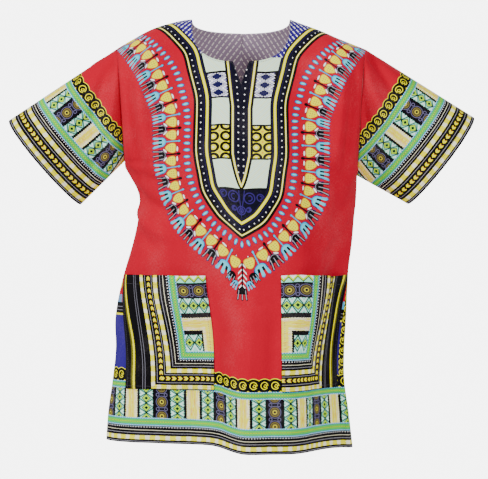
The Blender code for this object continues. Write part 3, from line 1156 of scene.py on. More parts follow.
@dataclass
class Motifs:
    """The print's motifs, each drawn by formula on the flat cloth.

    u and h are the cloth's distances across and up, which its noises lie on.
    """

    inks: Inks
    u: Num
    h: Num
    bands: BorderBands = BorderBands()
    row_sizes: RowSizes = RowSizes()
    shield_sizes: ShieldSizes = ShieldSizes()
    pocket_sizes: PocketSizes = PocketSizes()
    side_sizes: SideSizes = SideSizes()

    def __post_init__(self) -> None:
        """Shares three noises among the motifs: how rough an edge is, and streaks each way."""
        self.rough = self.inks.noise(self.u, self.h, 420, 420, 1.0) - 0.5
        self.streaks = self.inks.noise(self.u, self.h, 700, 60)
        self.cross_streaks = self.inks.noise(self.u, self.h, 60, 700)

    def lozenges(self, x: Num, y: Num) -> Tint:
        """Draws a strip of lozenges.

        Args:
            x: Place across the strip, 0 in its middle.
            y: Place along it.

        Returns:
            The strip's colours.
        """
        pitch, half_width, half_height = 0.0168, 0.0086, 0.0078
        side, step = abs(x), y.from_nearest(pitch)
        net = abs(side * 0.62 + step - pitch / 2)
        strip = self.inks.tint(INK.mint).band(net, (INK.white, (0.0028, 0.0044)))
        diamond = side / half_width + step / half_height
        steps = ((INK.teal, 1.0), (INK.lime, 0.80), (INK.green, 0.46), (INK.black, 0.36))
        return strip.nest(net, (INK.teal, 0.0010)).nest(diamond, *steps)

    def medallions(self, x: Num, y: Num) -> Tint:
        """Draws a strip of round medallions.

        Args:
            x: Place across the strip, 0 in its middle.
            y: Place along it.

        Returns:
            The strip's colours.
        """
        pitch, shift, small_off = 0.0252, 0.0035, 0.0075
        radius = distance(x, (y + shift).in_cell(pitch))
        small = distance(abs(x) - small_off, (y + (shift + pitch / 2)).in_cell(pitch))
        strip = self.inks.tint(INK.navy).band(small, (INK.mauve, (0.0022, 0.0032)))
        strip = strip.band(radius, (INK.mauve, (0.0098, 0.0108))).nest(radius, (INK.gold, 0.0082))
        strip = strip.band(radius, (INK.navy, (0.0052, 0.0062)), (INK.yellow, (0.0026, 0.0034)))
        return strip.nest(radius, (INK.navy, 0.0018))

    def brushed(self, x: Num, streaks: Num) -> Tint:
        """Draws a strip of cream with yellow brush strokes along it.

        Args:
            x: Place across the strip, 0 in its middle.
            streaks: Noise that runs along the strip.

        Returns:
            The strip's colours.
        """
        fringe = (abs(x) + streaks * 0.014).within(0.0075, 0.0132)
        return self.inks.tint(INK.cream).stack(
            (INK.yellow, fringe * 0.9),
            (INK.yellow, (streaks < 0.45) * 0.9),
            (INK.orange, (streaks > 0.58) * (abs(x) < 0.009) * 0.55),
        )

    def dashes(self, s: Num) -> Tint:
        """Draws a stripe that is yellow and white by turns."""
        where = s.from_nearest(self.bands.dash_pitch) + self.rough * 0.006 < self.bands.dash_half
        return self.inks.tint(INK.cream).paint(INK.yellow, where)

    def green_band(self, d: Num, s: Num, low: float, high: float) -> tuple[Tint, Num]:
        """Draws a green band with toothed edges.

        Args:
            d: Distance from the border's edge.
            s: Distance along it.
            low: Where the band starts.
            high: Where it ends.

        Returns:
            The band's colours, and where it is.
        """
        off, half = abs(d - (low + high) / 2), (high - low) / 2
        tooth = s.from_nearest(self.bands.tooth_pitch)
        core, rim = off + tooth * 0.9, off - tooth * 0.9
        band = self.inks.tint(INK.green).stack(
            (INK.lime, core < 0.0016),
            (INK.teal, core.within(0.0016, 0.0023) * 0.7),
            (INK.teal, rim.within(half - 0.0036, half - 0.0028)),
            (INK.cyan, rim > half - 0.0028),
            (INK.white, (off - tooth * 1.1) > half - 0.0014),
        )
        return band, (off - tooth * 0.6) < half - 0.0004

    def curls(self, d: Num, s: Num, low: float, high: float) -> tuple[Tint, Num]:
        """Draws a black band of yellow curls with a scalloped edge.

        Args:
            d: Distance across the band, from the border's edge.
            s: Distance along it.
            low: Where the band starts.
            high: Where it ends.

        Returns:
            The band's colours, and where it is.
        """
        bands = self.bands
        pitch = bands.curl_pitch
        x, y = s.in_cell(pitch), d - (low + high) / 2 + 0.0008
        gap = (x > 0.0015) * (abs(y + 0.0018) < 0.0014)
        ring = distance(x, y).within(*bands.curl_ring) * (1 - gap)
        curl = distance(x - 0.0016, y + 0.0006).within(*bands.curl_middle)
        curl = curl * (1 - (x < 0.0) * (y > 0.0))
        small = abs(s + pitch / 2).from_nearest(pitch) * 0.8 + (d - low)
        valley = s.from_nearest(pitch)
        scallop = d - high + valley * valley * bands.scallop
        band = self.inks.tint(INK.black).paint(INK.yellow, ring + curl + (small < 0.0024))
        band = band.band(scallop, (INK.yellow, (-bands.scallop_rim, 0.0)))
        return band, (d > low) * (scallop < 0.0)

    def border(self, ground: Tint, d: Num, s: Num) -> Tint:
        """Draws the whole border, over the cloth's ground.

        Args:
            ground: The colours where the border isn't.
            d: Distance from the border's edge.
            s: Distance along it.

        Returns:
            The colours with the border.
        """
        bands = self.bands
        edge = d + self.rough * 0.0006
        made = ground.paint(INK.black, edge < bands.columns[0])
        made = made.stack(*((INK.line, edge.near(x, bands.thin_reach)) for x in bands.thin_lines))
        made = made.stack(*((self.dashes(s), edge.within(*ends)) for ends in bands.stripes))
        head = s.in_cell(bands.arrow_pitch) + abs(d - sum(bands.arrows) / 2) * 0.9
        row = d.within(*bands.arrows)
        dots = distance(s.in_cell(bands.dot_pitch), d - bands.dots)
        made = made.stack(
            (INK.orange, head.within(*bands.arrow_rim) * row),
            (INK.yellow, head.within(*bands.arrow_head) * row),
            (INK.cream, edge.near(bands.cream_line, bands.cream_reach)),
            (INK.white, dots < bands.dot_radius),
            (self.columns(d, s), d.within(*bands.columns)),
        )
        made = made.stack(*(self.green_band(d, s, *ends) for ends in bands.greens))
        return made.paint(*self.curls(d, s, *bands.curls))

    def columns(self, d: Num, s: Num) -> Tint:
        """Draws the border's widest band: strips side by side, four to a repeat.

        Args:
            d: Distance from the border's edge.
            s: Distance along it.

        Returns:
            The band's colours.
        """
        width = self.bands.column_width
        x, place = s.in_cell(width), s.from_nearest(width * 4)
        notches = d.from_nearest(self.bands.notch_pitch)
        beside = abs(x) + notches * 0.7 + self.rough * 0.0012
        return self.lozenges(x, d - 0.0025).stack(
            (self.medallions(x, d), place > width * 1.5),
            (self.brushed(x, self.streaks), place < width * 0.5),
            (INK.black, beside > self.bands.column_half),
        )

    def sprigs(self, ground: Tint, s: Num, d: Num) -> Tint:
        """Draws the rows of florets, leaves and forked sprigs that go round the neck's shield.

        Args:
            ground: The colours under them.
            s: Distance along the rows' line from the middle.
            d: Distance off it, outwards.

        Returns:
            The colours with the rows.
        """
        sizes = self.row_sizes
        pitch = sizes.sprig_pitch
        near = s.low(sizes.wide_run)
        s = s - near * sizes.slower + near * near * (sizes.slower / (2 * sizes.wide_run))
        leant = s + d * sizes.lean
        x, apart, shown = leant.in_cell(pitch), leant.from_nearest(pitch * 2), leant > pitch / 2
        odd = (apart > pitch / 2) * shown
        even = (1 - (apart > pitch / 2)) * shown
        shape, gap, middles = self.cup(x, (d - sizes.fork_off) * 0.92, sizes.fork_radius)
        stem = abs(x) + (1 - d.within(*sizes.stem))
        knob = distance(x, (d - sizes.stem[0]) * 0.7)
        dark = (stem < sizes.stem_half) + (knob < sizes.knob_radius)
        light = (stem < sizes.lit_stem_half) + (knob < sizes.lit_knob_radius)
        vein = middles + shape.within(-0.0018, -0.0010) * (d < sizes.fork_off)
        rim, edge = sizes.fork_rims
        lit, core = sizes.fork_light
        made = ground.stack(
            (INK.purple, (shape < rim) * shown),
            (INK.black, ((shape < edge) + dark) * shown),
            (INK.line, vein * (shape < -0.0010) * even * 0.8),
            (INK.cyan, ((shape < lit) * (1 - gap) + light) * odd),
            (INK.mint, (shape < core) * (1 - gap) * odd * 0.35),
        )
        floret = (s + pitch / 2).in_cell(pitch)
        squeeze = floret * (1.0 + (d + 0.0010) * 28.0).low(1.25).high(0.8)
        petal = distance(squeeze, d * 0.84 + abs(floret) * 0.16)
        made = made.nest(petal, *zip((INK.brown, INK.orange, INK.yellow), sizes.floret_radii))
        speck = distance(floret.in_cell(sizes.speck_pitch), d.in_cell(sizes.speck_pitch))
        specks = (speck < sizes.speck_radius) * (petal < sizes.speckled_radius)
        made = made.paint(INK.ochre, specks * 0.8)
        along, off = sizes.lying_leaf
        made = self.leaf(made, d - off, apart - along, shown)
        x, y = apart - sizes.slanting_leaf[0], d - sizes.slanting_leaf[1]
        return self.leaf(made, (x - y) * 0.7, (x + y) * 0.7, shown)

    def cup(self, x: Num, y: Num, size: float) -> tuple[Num, Num, Num]:
        """Draws a cup with three prongs.

        Args:
            x: Place across it.
            y: Place up it, 0 at the middle of its bowl.
            size: The bowl's radius.

        Returns:
            Distances off its outline, below 0 inside, where the gaps between prongs are, and
            where the lines down the prongs' middles are.
        """
        side = abs(x) * (1.0 - (y / size).high(0.0) * 0.16)
        prong = side.from_nearest(size * 0.72)
        bowl = distance(side, y.low(0.0)) - size
        tip = y + prong * 1.4 - size * 1.75
        between_them = prong > size * 0.19
        notch = between_them * (y > size * 0.55)
        middles = (prong < size * 0.075) * (y > size * -0.30)
        return bowl.high(tip) + notch, between_them * (y > size * -0.20), middles

    def leaf(self, ground: Tint, across: Num, along: Num, shown: Num) -> Tint:
        """Draws a small white leaf.

        Args:
            ground: The colours under it.
            across: Place across it.
            along: Place along it.
            shown: Where there is one.

        Returns:
            The colours with the leaf.
        """
        leaf = distance(across, along * 0.32)
        rim, middle = ((leaf < radius) * shown for radius in self.row_sizes.leaf_radii)
        return ground.stack((INK.wine, rim), (INK.white, middle))

    def drops(self, ground: Tint, s: Num, d: Num) -> Tint:
        """Draws a row of drops just outside the shield.

        Args:
            ground: The colours under them.
            s: Distance along the row from the middle.
            d: Distance outwards from the row's line.

        Returns:
            The colours with the drops.
        """
        sizes = self.row_sizes
        x, y = s.in_cell(sizes.drop_pitch), d * 0.50
        drop = distance(x * (1.15 + y * 60.0), y)
        made = ground.nest(drop, *zip((INK.purple, INK.cyan), sizes.drop_radii))
        return made.nest(drop + abs(x) * 0.8, (INK.mint, sizes.drop_core))

    def shield(self, ground: Tint, s: Num, d: Num, u: Num, up: Num, is_front: bool) -> Tint:
        """Draws the shield round the neck, inside its edge.

        Args:
            ground: The colours outside it.
            s: Distance along the shield's edge.
            d: Distance off it, below 0 inside.
            u: Distance across the cloth.
            up: Height above the shield's lowest point.
            is_front: Whether it has windows and a middle strip.

        Returns:
            The colours with the shield.
        """
        sizes = self.shield_sizes
        deep, side, level = d * -1.0, abs(u), up - u * sizes.tilt
        hatch = s.from_nearest(sizes.hatch_pitch) < 0.0010
        dot = distance(s.in_cell(sizes.dot_pitch), deep - sizes.dots)
        rims = [deep.within(*ends) for ends in sizes.rims]
        made = self.inks.tint(INK.black).stack(
            (INK.navy, deep.within(*sizes.navy)),
            (INK.yellow, deep.within(*sizes.edge_line)),
            (INK.cream, deep.within(*sizes.edge_hatch) * hatch),
            (INK.white, dot < 0.0012),
            (INK.purple, (rims[0] + rims[1]) * 0.25),
            (INK.yellow, deep.within(*sizes.inner_line)),
            (INK.cream, deep.within(*sizes.inner_hatch) * hatch * 0.6),
        )
        rays = (side + up * 0.62).in_cell(0.0096)
        dash = (abs(rays) < 0.0013) * (side * 0.62 - up).in_cell(0.0120).near(0.0, 0.0044)
        shoulder = self.inks.tint(INK.blue).paint(INK.white, dash)
        if not is_front:
            made = made.paint(shoulder, deep > 0.0325)
            return ground.paint(made, d < 0.0)
        inside = deep > sizes.inside
        made = made.stack(
            (self.tip_scrolls(side, up), inside * (level < sizes.tip_top)),
            (self.windows(side, level), (deep > 0.0330) * (level > sizes.windows_low)),
            (shoulder, inside * (up > sizes.shoulder_low)),
        )
        return ground.paint(self.middle_strip(made, side, up), d < 0.0)

    def tip_scrolls(self, side: Num, up: Num) -> Tint:
        """Draws scrolls in the shield's tip.

        Args:
            side: Distance from the middle line.
            up: Height above the shield's lowest point.

        Returns:
            The tip's colours.
        """
        made = self.inks.tint(INK.navy)
        for x, y, reach in self.shield_sizes.scrolls:
            radius = distance(side - x, up - y)
            ring = abs(radius - reach) < self.shield_sizes.scroll_line
            core = abs(radius - reach * 0.50) < self.shield_sizes.scroll_line
            made = made.paint(INK.purple, ring + core * (side > x - reach * 0.2))
        return made.paint(INK.purple, (side - (up - 0.0560) * 0.12).near(0.0016, 0.0008))

    def windows(self, side: Num, up: Num) -> Tint:
        """Draws the shield's windows, one above the other.

        Args:
            side: Distance from the middle line.
            up: Height above the shield's lowest point.

        Returns:
            The windows' colours, with the bars between them.
        """
        sizes = self.shield_sizes
        x = side - ((up - 0.2350).high(0.0) * 0.11 + 0.0380)
        stripe = (side + up * 1.6).in_cell(0.0052).within(-0.0010, 0.0004)
        thread = (side - up).in_cell(0.0110).within(-0.0007, 0.0007)
        pale = self.inks.tint(INK.pale).stack((INK.mint, stripe * 0.6), (INK.lemon, thread * 0.5))
        made = self.inks.tint(INK.black)
        for ends in (*sizes.pale_windows, sizes.top_windows):
            made = made.paint(pale, up.within(*ends))
        pitch = sizes.star_pitch
        ring = distance((x + 0.0112).in_cell(0.0224) * 0.84, (up - 0.1587).in_cell(pitch))
        star = distance(x, (up - 0.1680).in_cell(pitch)) < 0.0020
        stars = self.inks.tint(INK.yellow).band(ring, (INK.black, (0.0048, 0.0090)))
        stars = stars.nest(ring, (INK.white, 0.0016)).paint(INK.orange, star * 0.6)
        made = made.paint(stars, up.within(*sizes.star_window))
        middle = up - sizes.ikat_middle
        jag = abs(x) * 0.60 + abs(x).from_nearest(0.0034) * 1.3
        diamond = jag + abs(middle.in_cell(0.0152))
        ikat = self.inks.tint(INK.white).stack(
            (INK.lavender, diamond > 0.0150),
            (INK.lavender, diamond.within(0.0094, 0.0116)),
            (INK.indigo, diamond < 0.0080),
            (INK.black, abs(x) - abs(middle.in_cell(0.0050)) * 1.6 > 0.0138),
        )
        return made.paint(ikat, up.within(*sizes.ikat_window))

    def middle_strip(self, made: Tint, side: Num, up: Num) -> Tint:
        """Draws the strip that hangs from the neck slit to a point.

        Args:
            made: The colours under it.
            side: Distance from the middle line.
            up: Height above the shield's lowest point.

        Returns:
            The colours with the strip.
        """
        sizes = self.shield_sizes
        taper = ((up - 0.0860) / 0.0600).high(0.0).low(1.0).math("POWER", 0.55)
        splay = (up - 0.2300).high(0.0) * 0.125
        deep = taper * sizes.strip_half + splay - side
        hatch = up.from_nearest(sizes.hatch_pitch) < 0.0010
        dot = distance(side - splay * 0.6 - 0.0046, up.in_cell(sizes.dot_pitch))
        return made.stack(
            (INK.black, deep > 0.0),
            (INK.yellow, deep.within(0.0042, 0.0080)),
            (INK.cream, deep.within(0.0050, 0.0072) * hatch),
            (INK.navy, deep > 0.0104),
            (INK.purple, deep.within(0.0090, 0.0104) * 0.3),
            (INK.white, (dot < 0.0013) * (up > 0.1060)),
        )

    def pendant(self, ground: Tint, side: Num, up: Num) -> Tint:
        """Draws the small sprig that hangs below the rows, on the middle line.

        Args:
            ground: The colours under it.
            side: Distance from the middle line.
            up: Height above the pendant's lowest point.

        Returns:
            The colours with the pendant.
        """
        made = ground
        # A fork's columns: its middle, its height, its radius, how far it leans and its ink.
        forks = (
            (0.0205, 0.0405, 0.0072, 0.5, INK.black),
            (0.0135, 0.0275, 0.0060, 0.5, INK.cyan),
            (0.0, 0.0145, 0.0076, 0.0, INK.black),
        )
        for x, y, size, lean, colour in forks:
            across = (side - x) * 0.85 + (up - y) * lean
            down = (up - y) * -0.85 + (side - x) * lean
            shape, gap, middles = self.cup(across, down, size)
            made = made.stack(
                (INK.black, shape < 0.0006),
                (colour, (shape < -0.0004) * (1 - gap)),
                (INK.line, middles * (shape < -0.0010) * 0.8),
            )
        slant = up + side * 1.1
        rung = slant.in_cell(0.0092)
        on = (side < 0.0092 - abs(up - 0.0400) * 0.18) * slant.within(0.0200, 0.0660)
        return made.stack(
            (INK.black, (side < 0.0014) * up.within(0.0100, 0.0640)),
            (INK.black, rung.within(-0.0028, 0.0018) * on),
            (INK.white, rung.within(-0.0020, 0.0010) * on * (side > 0.0014)),
        )

    def pocket(self, across: Num, up: Num) -> Tint:
        """Draws a patch pocket's print, whose bands turn a corner at its lower outer side.

        Args:
            across: Distance in from the pocket's outer edge.
            up: Distance up from its bottom.

        Returns:
            The pocket's colours.
        """
        sizes = self.pocket_sizes
        from_strip = across - sizes.outer_strip
        d, upright = from_strip.low(up), from_strip < up
        s = up + (across - up) * (1 - upright)
        middle = self.pocket_middle(from_strip - sizes.bands, up - sizes.bands)
        rise = ((up - 0.0900) / 0.1000).high(0.0).low(1.0)
        wave = across + rise * rise * 0.0100 + (up * 60.0).sine() * 0.0010 + self.rough * 0.0016
        return self.border(self.inks.tint(INK.black), d, s).stack(
            (middle, d > sizes.bands),
            (INK.black, across < sizes.outer_strip),
            (INK.olive, wave.within(*sizes.ribbon_shade) * 0.6),
            (INK.yellow, wave.within(*sizes.ribbon)),
            *((INK.grey, across.near(line, sizes.line_reach)) for line in sizes.lines),
        )

    def pocket_middle(self, x: Num, y: Num) -> Tint:
        """Draws the strips in a pocket's upper inner corner.

        Args:
            x: Distance in from the green band.
            y: Distance up from the green band.

        Returns:
            The strips' colours.
        """
        sizes = self.pocket_sizes
        ragged = self.rough * 0.0012 + (x + y).from_nearest(0.0042) * 0.5
        run = (y - 0.0487).high(x - 0.0440)
        zigzag = (y - (sizes.zigzag_low + 0.0010)) * 0.9 - x.from_nearest(0.0150)
        corner = self.inks.tint(INK.mint).stack(
            (INK.lime, zigzag > 0.0),
            (INK.white, zigzag > 0.0042),
            (INK.teal, abs(zigzag) < 0.0009),
        )
        in_corner = (x + ragged).high(y + ragged) < 0.0300
        strip = (y + ragged).within(*sizes.lozenge_strip)
        return self.inks.tint(INK.black).stack(
            (self.lozenges(y - sizes.lozenge_low, x - 0.0070), in_corner),
            (self.brushed(run, self.cross_streaks), (abs(run) + ragged) < 0.0116),
            (self.lozenges(y - sizes.lozenge_high, x - 0.0070), strip),
            (self.medallions(y - sizes.medallions, x + 0.0110), y.within(*sizes.medallion_strip)),
            (corner, y > sizes.zigzag_low),
        )

    def side_strips(self, ground: Tint, u: Num, h: Num) -> Tint:
        """Draws the print that shows between the pockets and the side seams.

        Args:
            ground: The colours under it.
            u: Distance across the cloth from the middle line.
            h: Distance up from the hem.

        Returns:
            The colours with the strips.
        """
        sizes = self.side_sizes
        side = abs(u)
        strip = self.inks.tint(INK.red).stack(
            (INK.blue, h.within(*sizes.blue)),
            (INK.yellow, h.within(*sizes.yellow)),
            (INK.black, h.within(*sizes.black)),
            *((INK.grey, h.near(line, 0.0007)) for line in sizes.lines),
            (INK.cyan, h.within(*sizes.cyan) * (side.from_nearest(0.0092) < 0.0030)),
        )
        floret = distance(side - sizes.floret[0], h - sizes.floret[1])
        strip = strip.nest(floret, (INK.black, 0.0100), (INK.yellow, 0.0086))
        made = ground.paint(strip, (side > sizes.inner) * (h < sizes.top))
        band, where = self.curls(side, h, *sizes.curls)
        return made.paint(band, where * (u > 0.0) * h.within(*sizes.curls_run))


@dataclass(frozen=True)
class Cotton:
    """Plain-weave cotton: its threads, its sheen and how its wrong side looks."""

    thread: float = 0.0011
    roughness: float = 0.84
    sheen: float = 0.03
    specular: float = 0.08
    weave_depth: float = 0.00010
    paler: float = 0.45

    def finish(self, inks: Inks, print_tint: Tint, u: Num, h: Num) -> bpy.types.Material:
        """Turns a print into a finished cloth.

        Args:
            inks: The material's nodes.
            print_tint: The print's colours.
            u: Distance across the cloth.
            h: Distance up the cloth.

        Returns:
            The material.
        """
        uneven = inks.noise(u, h, 14, 11, 3.0)
        grain = inks.noise(u, h, 900, 240, 1.0)
        across = inks.noise(u, h, 240, 900, 1.0)
        shade = (uneven - 0.5) * 0.16 + (grain + across - 1.0) * 0.10
        wrong = inks.node("ShaderNodeAttribute", {"attribute_name": "wrong_side"})
        made = print_tint.stack(
            ((0.0, 0.0, 0.0), (shade * -1.0).high(0.0)),
            ((1.0, 0.9, 0.88), (shade * 0.5).high(0.0)),
            (INK.wrong_side, Num(inks, wrong.outputs["Fac"]) * self.paler),
        )
        turns = 2 * math.pi / self.thread
        weave = (u * turns).sine() * (h * turns).sine() * 0.5 + (grain + across) * 0.8
        sockets = {"Height": weave.value, "Distance": self.weave_depth, "Strength": 0.6}
        bump = inks.node("ShaderNodeBump", None, sockets)
        inks.shade(
            {
                "Base Color": made,
                "Roughness": self.roughness + (grain - 0.5) * 0.12,
                "Normal": Num(inks, bump.outputs[0]),
                "Metallic": 0.0,
                "Sheen Weight": self.sheen,
                "Sheen Roughness": 0.4,
                "Specular IOR Level": self.specular,
            }
        )
        return inks.material


@dataclass
class Shell:
    """A piece of cloth as a thin closed shell, made from a grid of outer points.

    outer holds the points, outward their normals, wall the thickness and maps the UV maps.
    """

    name: str
    outer: np.ndarray
    outward: np.ndarray
    wall: float
    maps: dict[str, np.ndarray] = field(default_factory=dict)

    def add_map(self, name: str, first: np.ndarray, second: np.ndarray) -> None:
        """Keeps a UV map whose two numbers are given at each grid point."""
        self.maps[name] = np.stack([first, second], axis=2)

    def area(self) -> float:
        """Works out the cloth's area from the two triangles of each cell of its grid.

        Returns:
            The area in square metres.
        """
        grid = self.outer
        a, b, c, d = grid[:-1, :-1], grid[:-1, 1:], grid[1:, 1:], grid[1:, :-1]
        crosses = np.concatenate([np.cross(b - a, c - a), np.cross(c - a, d - a)])
        return float(np.linalg.norm(crosses, axis=2).sum() / 2)

    def build(self, material: bpy.types.Material, closed: bool = False) -> bpy.types.Object:
        """Makes the shell's mesh.

        Args:
            material: The finished cloth.
            closed: Whether the first and last columns meet.

        Returns:
            The piece, riding on the shirt and dressed.
        """
        rows, columns = self.outer.shape[:2]
        bm = bmesh.new()
        bmesh.ops.create_grid(bm, x_segments=columns - 1, y_segments=rows - 1, size=1.0)
        place = bm.verts.layers.int.new("place")
        wrong = bm.verts.layers.float.new("wrong_side")
        layers = {name: bm.loops.layers.uv.new(name) for name in self.maps}
        for vert in bm.verts:
            column = round((vert.co.x + 1) / 2 * (columns - 1))
            row = round((vert.co.y + 1) / 2 * (rows - 1))
            vert[place] = row * columns + column
            vert.co = self.outer[row, column]
        flat = {name: values.reshape(-1, 2) for name, values in self.maps.items()}
        for face in bm.faces:
            face.smooth = True
            for loop in face.loops:
                for name, layer in layers.items():
                    loop[layer].uv = flat[name][loop.vert[place]]
        if closed:
            bmesh.ops.remove_doubles(bm, verts=bm.verts[:], dist=1e-6)
        made = bmesh.ops.extrude_face_region(bm, geom=bm.faces[:], use_keep_orig=True)
        inner = (self.outer - self.wall * self.outward).reshape(-1, 3)
        for vert in made["geom"]:
            if isinstance(vert, bmesh.types.BMVert):
                vert.co = inner[vert[place]]
                vert[wrong] = 1.0
        bmesh.ops.recalc_face_normals(bm, faces=bm.faces[:])
        piece = linked(bm, self.name, material)
        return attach(piece, "root") or piece


@dataclass
class Thread:
    """Rows of machine stitches, each a short raised bead of thread."""

    pitch: float = 0.0032
    length: float = 0.0021
    radius: float = 0.00032
    twist: float = 9000.0
    colour: Colour = screen(40, 34, 44)

    def build(self, name: str, rows: list[tuple[np.ndarray, np.ndarray]]) -> bpy.types.Object:
        """Sews rows of stitches.

        Args:
            name: The piece's name.
            rows: For each row its points on the cloth and the outward normals there.

        Returns:
            The stitches as one piece.
        """
        bm = bmesh.new()
        for points, outward in rows:
            run = lengths_along(points)
            for at in np.arange(self.pitch, run[-1] - self.pitch, self.pitch):
                self.stitch(bm, points, outward, run, at)
        piece = linked(bm, name, self.material(name))
        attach(piece, "root")
        return piece

    def stitch(
        self,
        bm: bmesh.types.BMesh,
        points: np.ndarray,
        outward: np.ndarray,
        run: np.ndarray,
        at: float,
    ) -> None:
        """Adds one stitch.

        Args:
            bm: The mesh that it joins.
            points: The row's points.
            outward: The normals there.
            run: Distances along the row.
            at: Where the stitch is.
        """
        start = place_along(points, run, at - self.length / 2)
        end = place_along(points, run, at + self.length / 2)
        up = place_along(outward, run, at)
        up /= np.linalg.norm(up)
        size = np.linalg.norm(end - start)
        if size < 1e-6:
            return
        along = (end - start) / size
        side = np.cross(up, along)
        centre = (start + end) / 2 + up * self.radius * 0.5
        for vert in bmesh.ops.create_cube(bm, size=1.0)["verts"]:
            x, y, z = vert.co
            taper = 1.0 - 0.35 * (z > 0)
            flat = along * x * size * taper + side * y * self.radius * 2 * taper
            vert.co = Vector(centre + flat + up * z * self.radius * 1.7)

    def material(self, name: str) -> bpy.types.Material:
        """Makes the thread's finish, with its twist.

        Args:
            name: The material's name.

        Returns:
            The material.
        """
        inks = Inks(name)
        x, _, z = inks.parts_of(inks.node("ShaderNodeTexCoord").outputs["Object"])
        twist = (x * self.twist + z * self.twist).sine()
        tint = inks.tint(self.colour).paint(INK.grey, twist * 0.25 + 0.25)
        inks.shade({"Base Color": tint, "Roughness": twist * 0.06 + 0.62})
        return inks.material


@dataclass
class BodyPanels:
    """The front and the back."""

    form: BodyForm
    cotton: Cotton
    wall: float = 0.0008
    shares: tuple[float, ...] = (
        0.0, 0.034, 0.068, 0.11, 0.17, 0.23, 0.285, 0.335, 0.37, 0.3915,
        0.45, 0.51, 0.57, 0.63, 0.69, 0.75, 0.81, 0.875, 0.94, 1.0,
    )
    parts: int = 3
    hem_offset: float = 0.0240
    pendant_drop: float = 0.058
    grids: dict[Side, PanelGrid] = field(init=False)

    def __post_init__(self) -> None:
        """Works out both panels' grids."""
        half = between(self.shares, self.parts)
        shares = np.concatenate([-half[:0:-1], half])
        self.grids = {side: PanelGrid(self.form, side, shares) for side in Side}

    def print_of(self, side: Side) -> bpy.types.Material:
        """Draws a panel's print and finishes its cloth.

        Args:
            side: The panel.

        Returns:
            The finished material.
        """
        inks = Inks(f"{side.name.lower()}_cotton")
        u, h = inks.cloth_place("cloth")
        motifs = Motifs(inks, u, h)
        grid = self.grids[side]
        shield_low = grid.flat_place(*SHIELD_EDGE[side].places[-1])[1]
        pendant_low = grid.flat_place(*SPRIG_LINE[side].places[-1])[1] - self.pendant_drop
        made = inks.tint(INK.red)
        if side is Side.FRONT:
            made = motifs.side_strips(made, u, h)
        made = motifs.sprigs(made, *inks.cloth_place("sprig_line"))
        made = motifs.drops(made, *inks.cloth_place("drop_line"))
        s, d = inks.cloth_place("shield_edge")
        made = motifs.shield(made, s, d, u, h - shield_low, side is Side.FRONT)
        made = motifs.pendant(made, abs(u), h - pendant_low)
        made = motifs.border(made, h + self.hem_offset, u)
        return self.cotton.finish(inks, made, u, h)

    def build(self) -> list[tuple[np.ndarray, np.ndarray]]:
        """Builds and dresses both panels.

        Returns:
            Their rows of stitches, along the hem and round the neck.
        """
        rows = []
        for side, grid in self.grids.items():
            name = side.name.lower()
            shell = Shell(f"{name}_cloth", grid.points, grid.outward, self.wall)
            shell.add_map("cloth", grid.u, grid.h)
            shell.add_map("shield_edge", *SHIELD_EDGE[side].measure(grid, 0))
            shell.add_map("drop_line", *DROP_LINE[side].measure(grid, 20))
            shell.add_map("sprig_line", *SPRIG_LINE[side].measure(grid, 60))
            piece = shell.build(self.print_of(side))
            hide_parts(name)
            area = shell.area()
            log.info("%s: %d faces, %.3f square metres", piece.name, len(piece.data.polygons), area)
            neck = np.abs(grid.shares) <= self.form.neck_share
            rows.append((grid.points[3], grid.outward[3]))
            rows.append((grid.points[-2][neck], grid.outward[-2][neck]))
        return rows


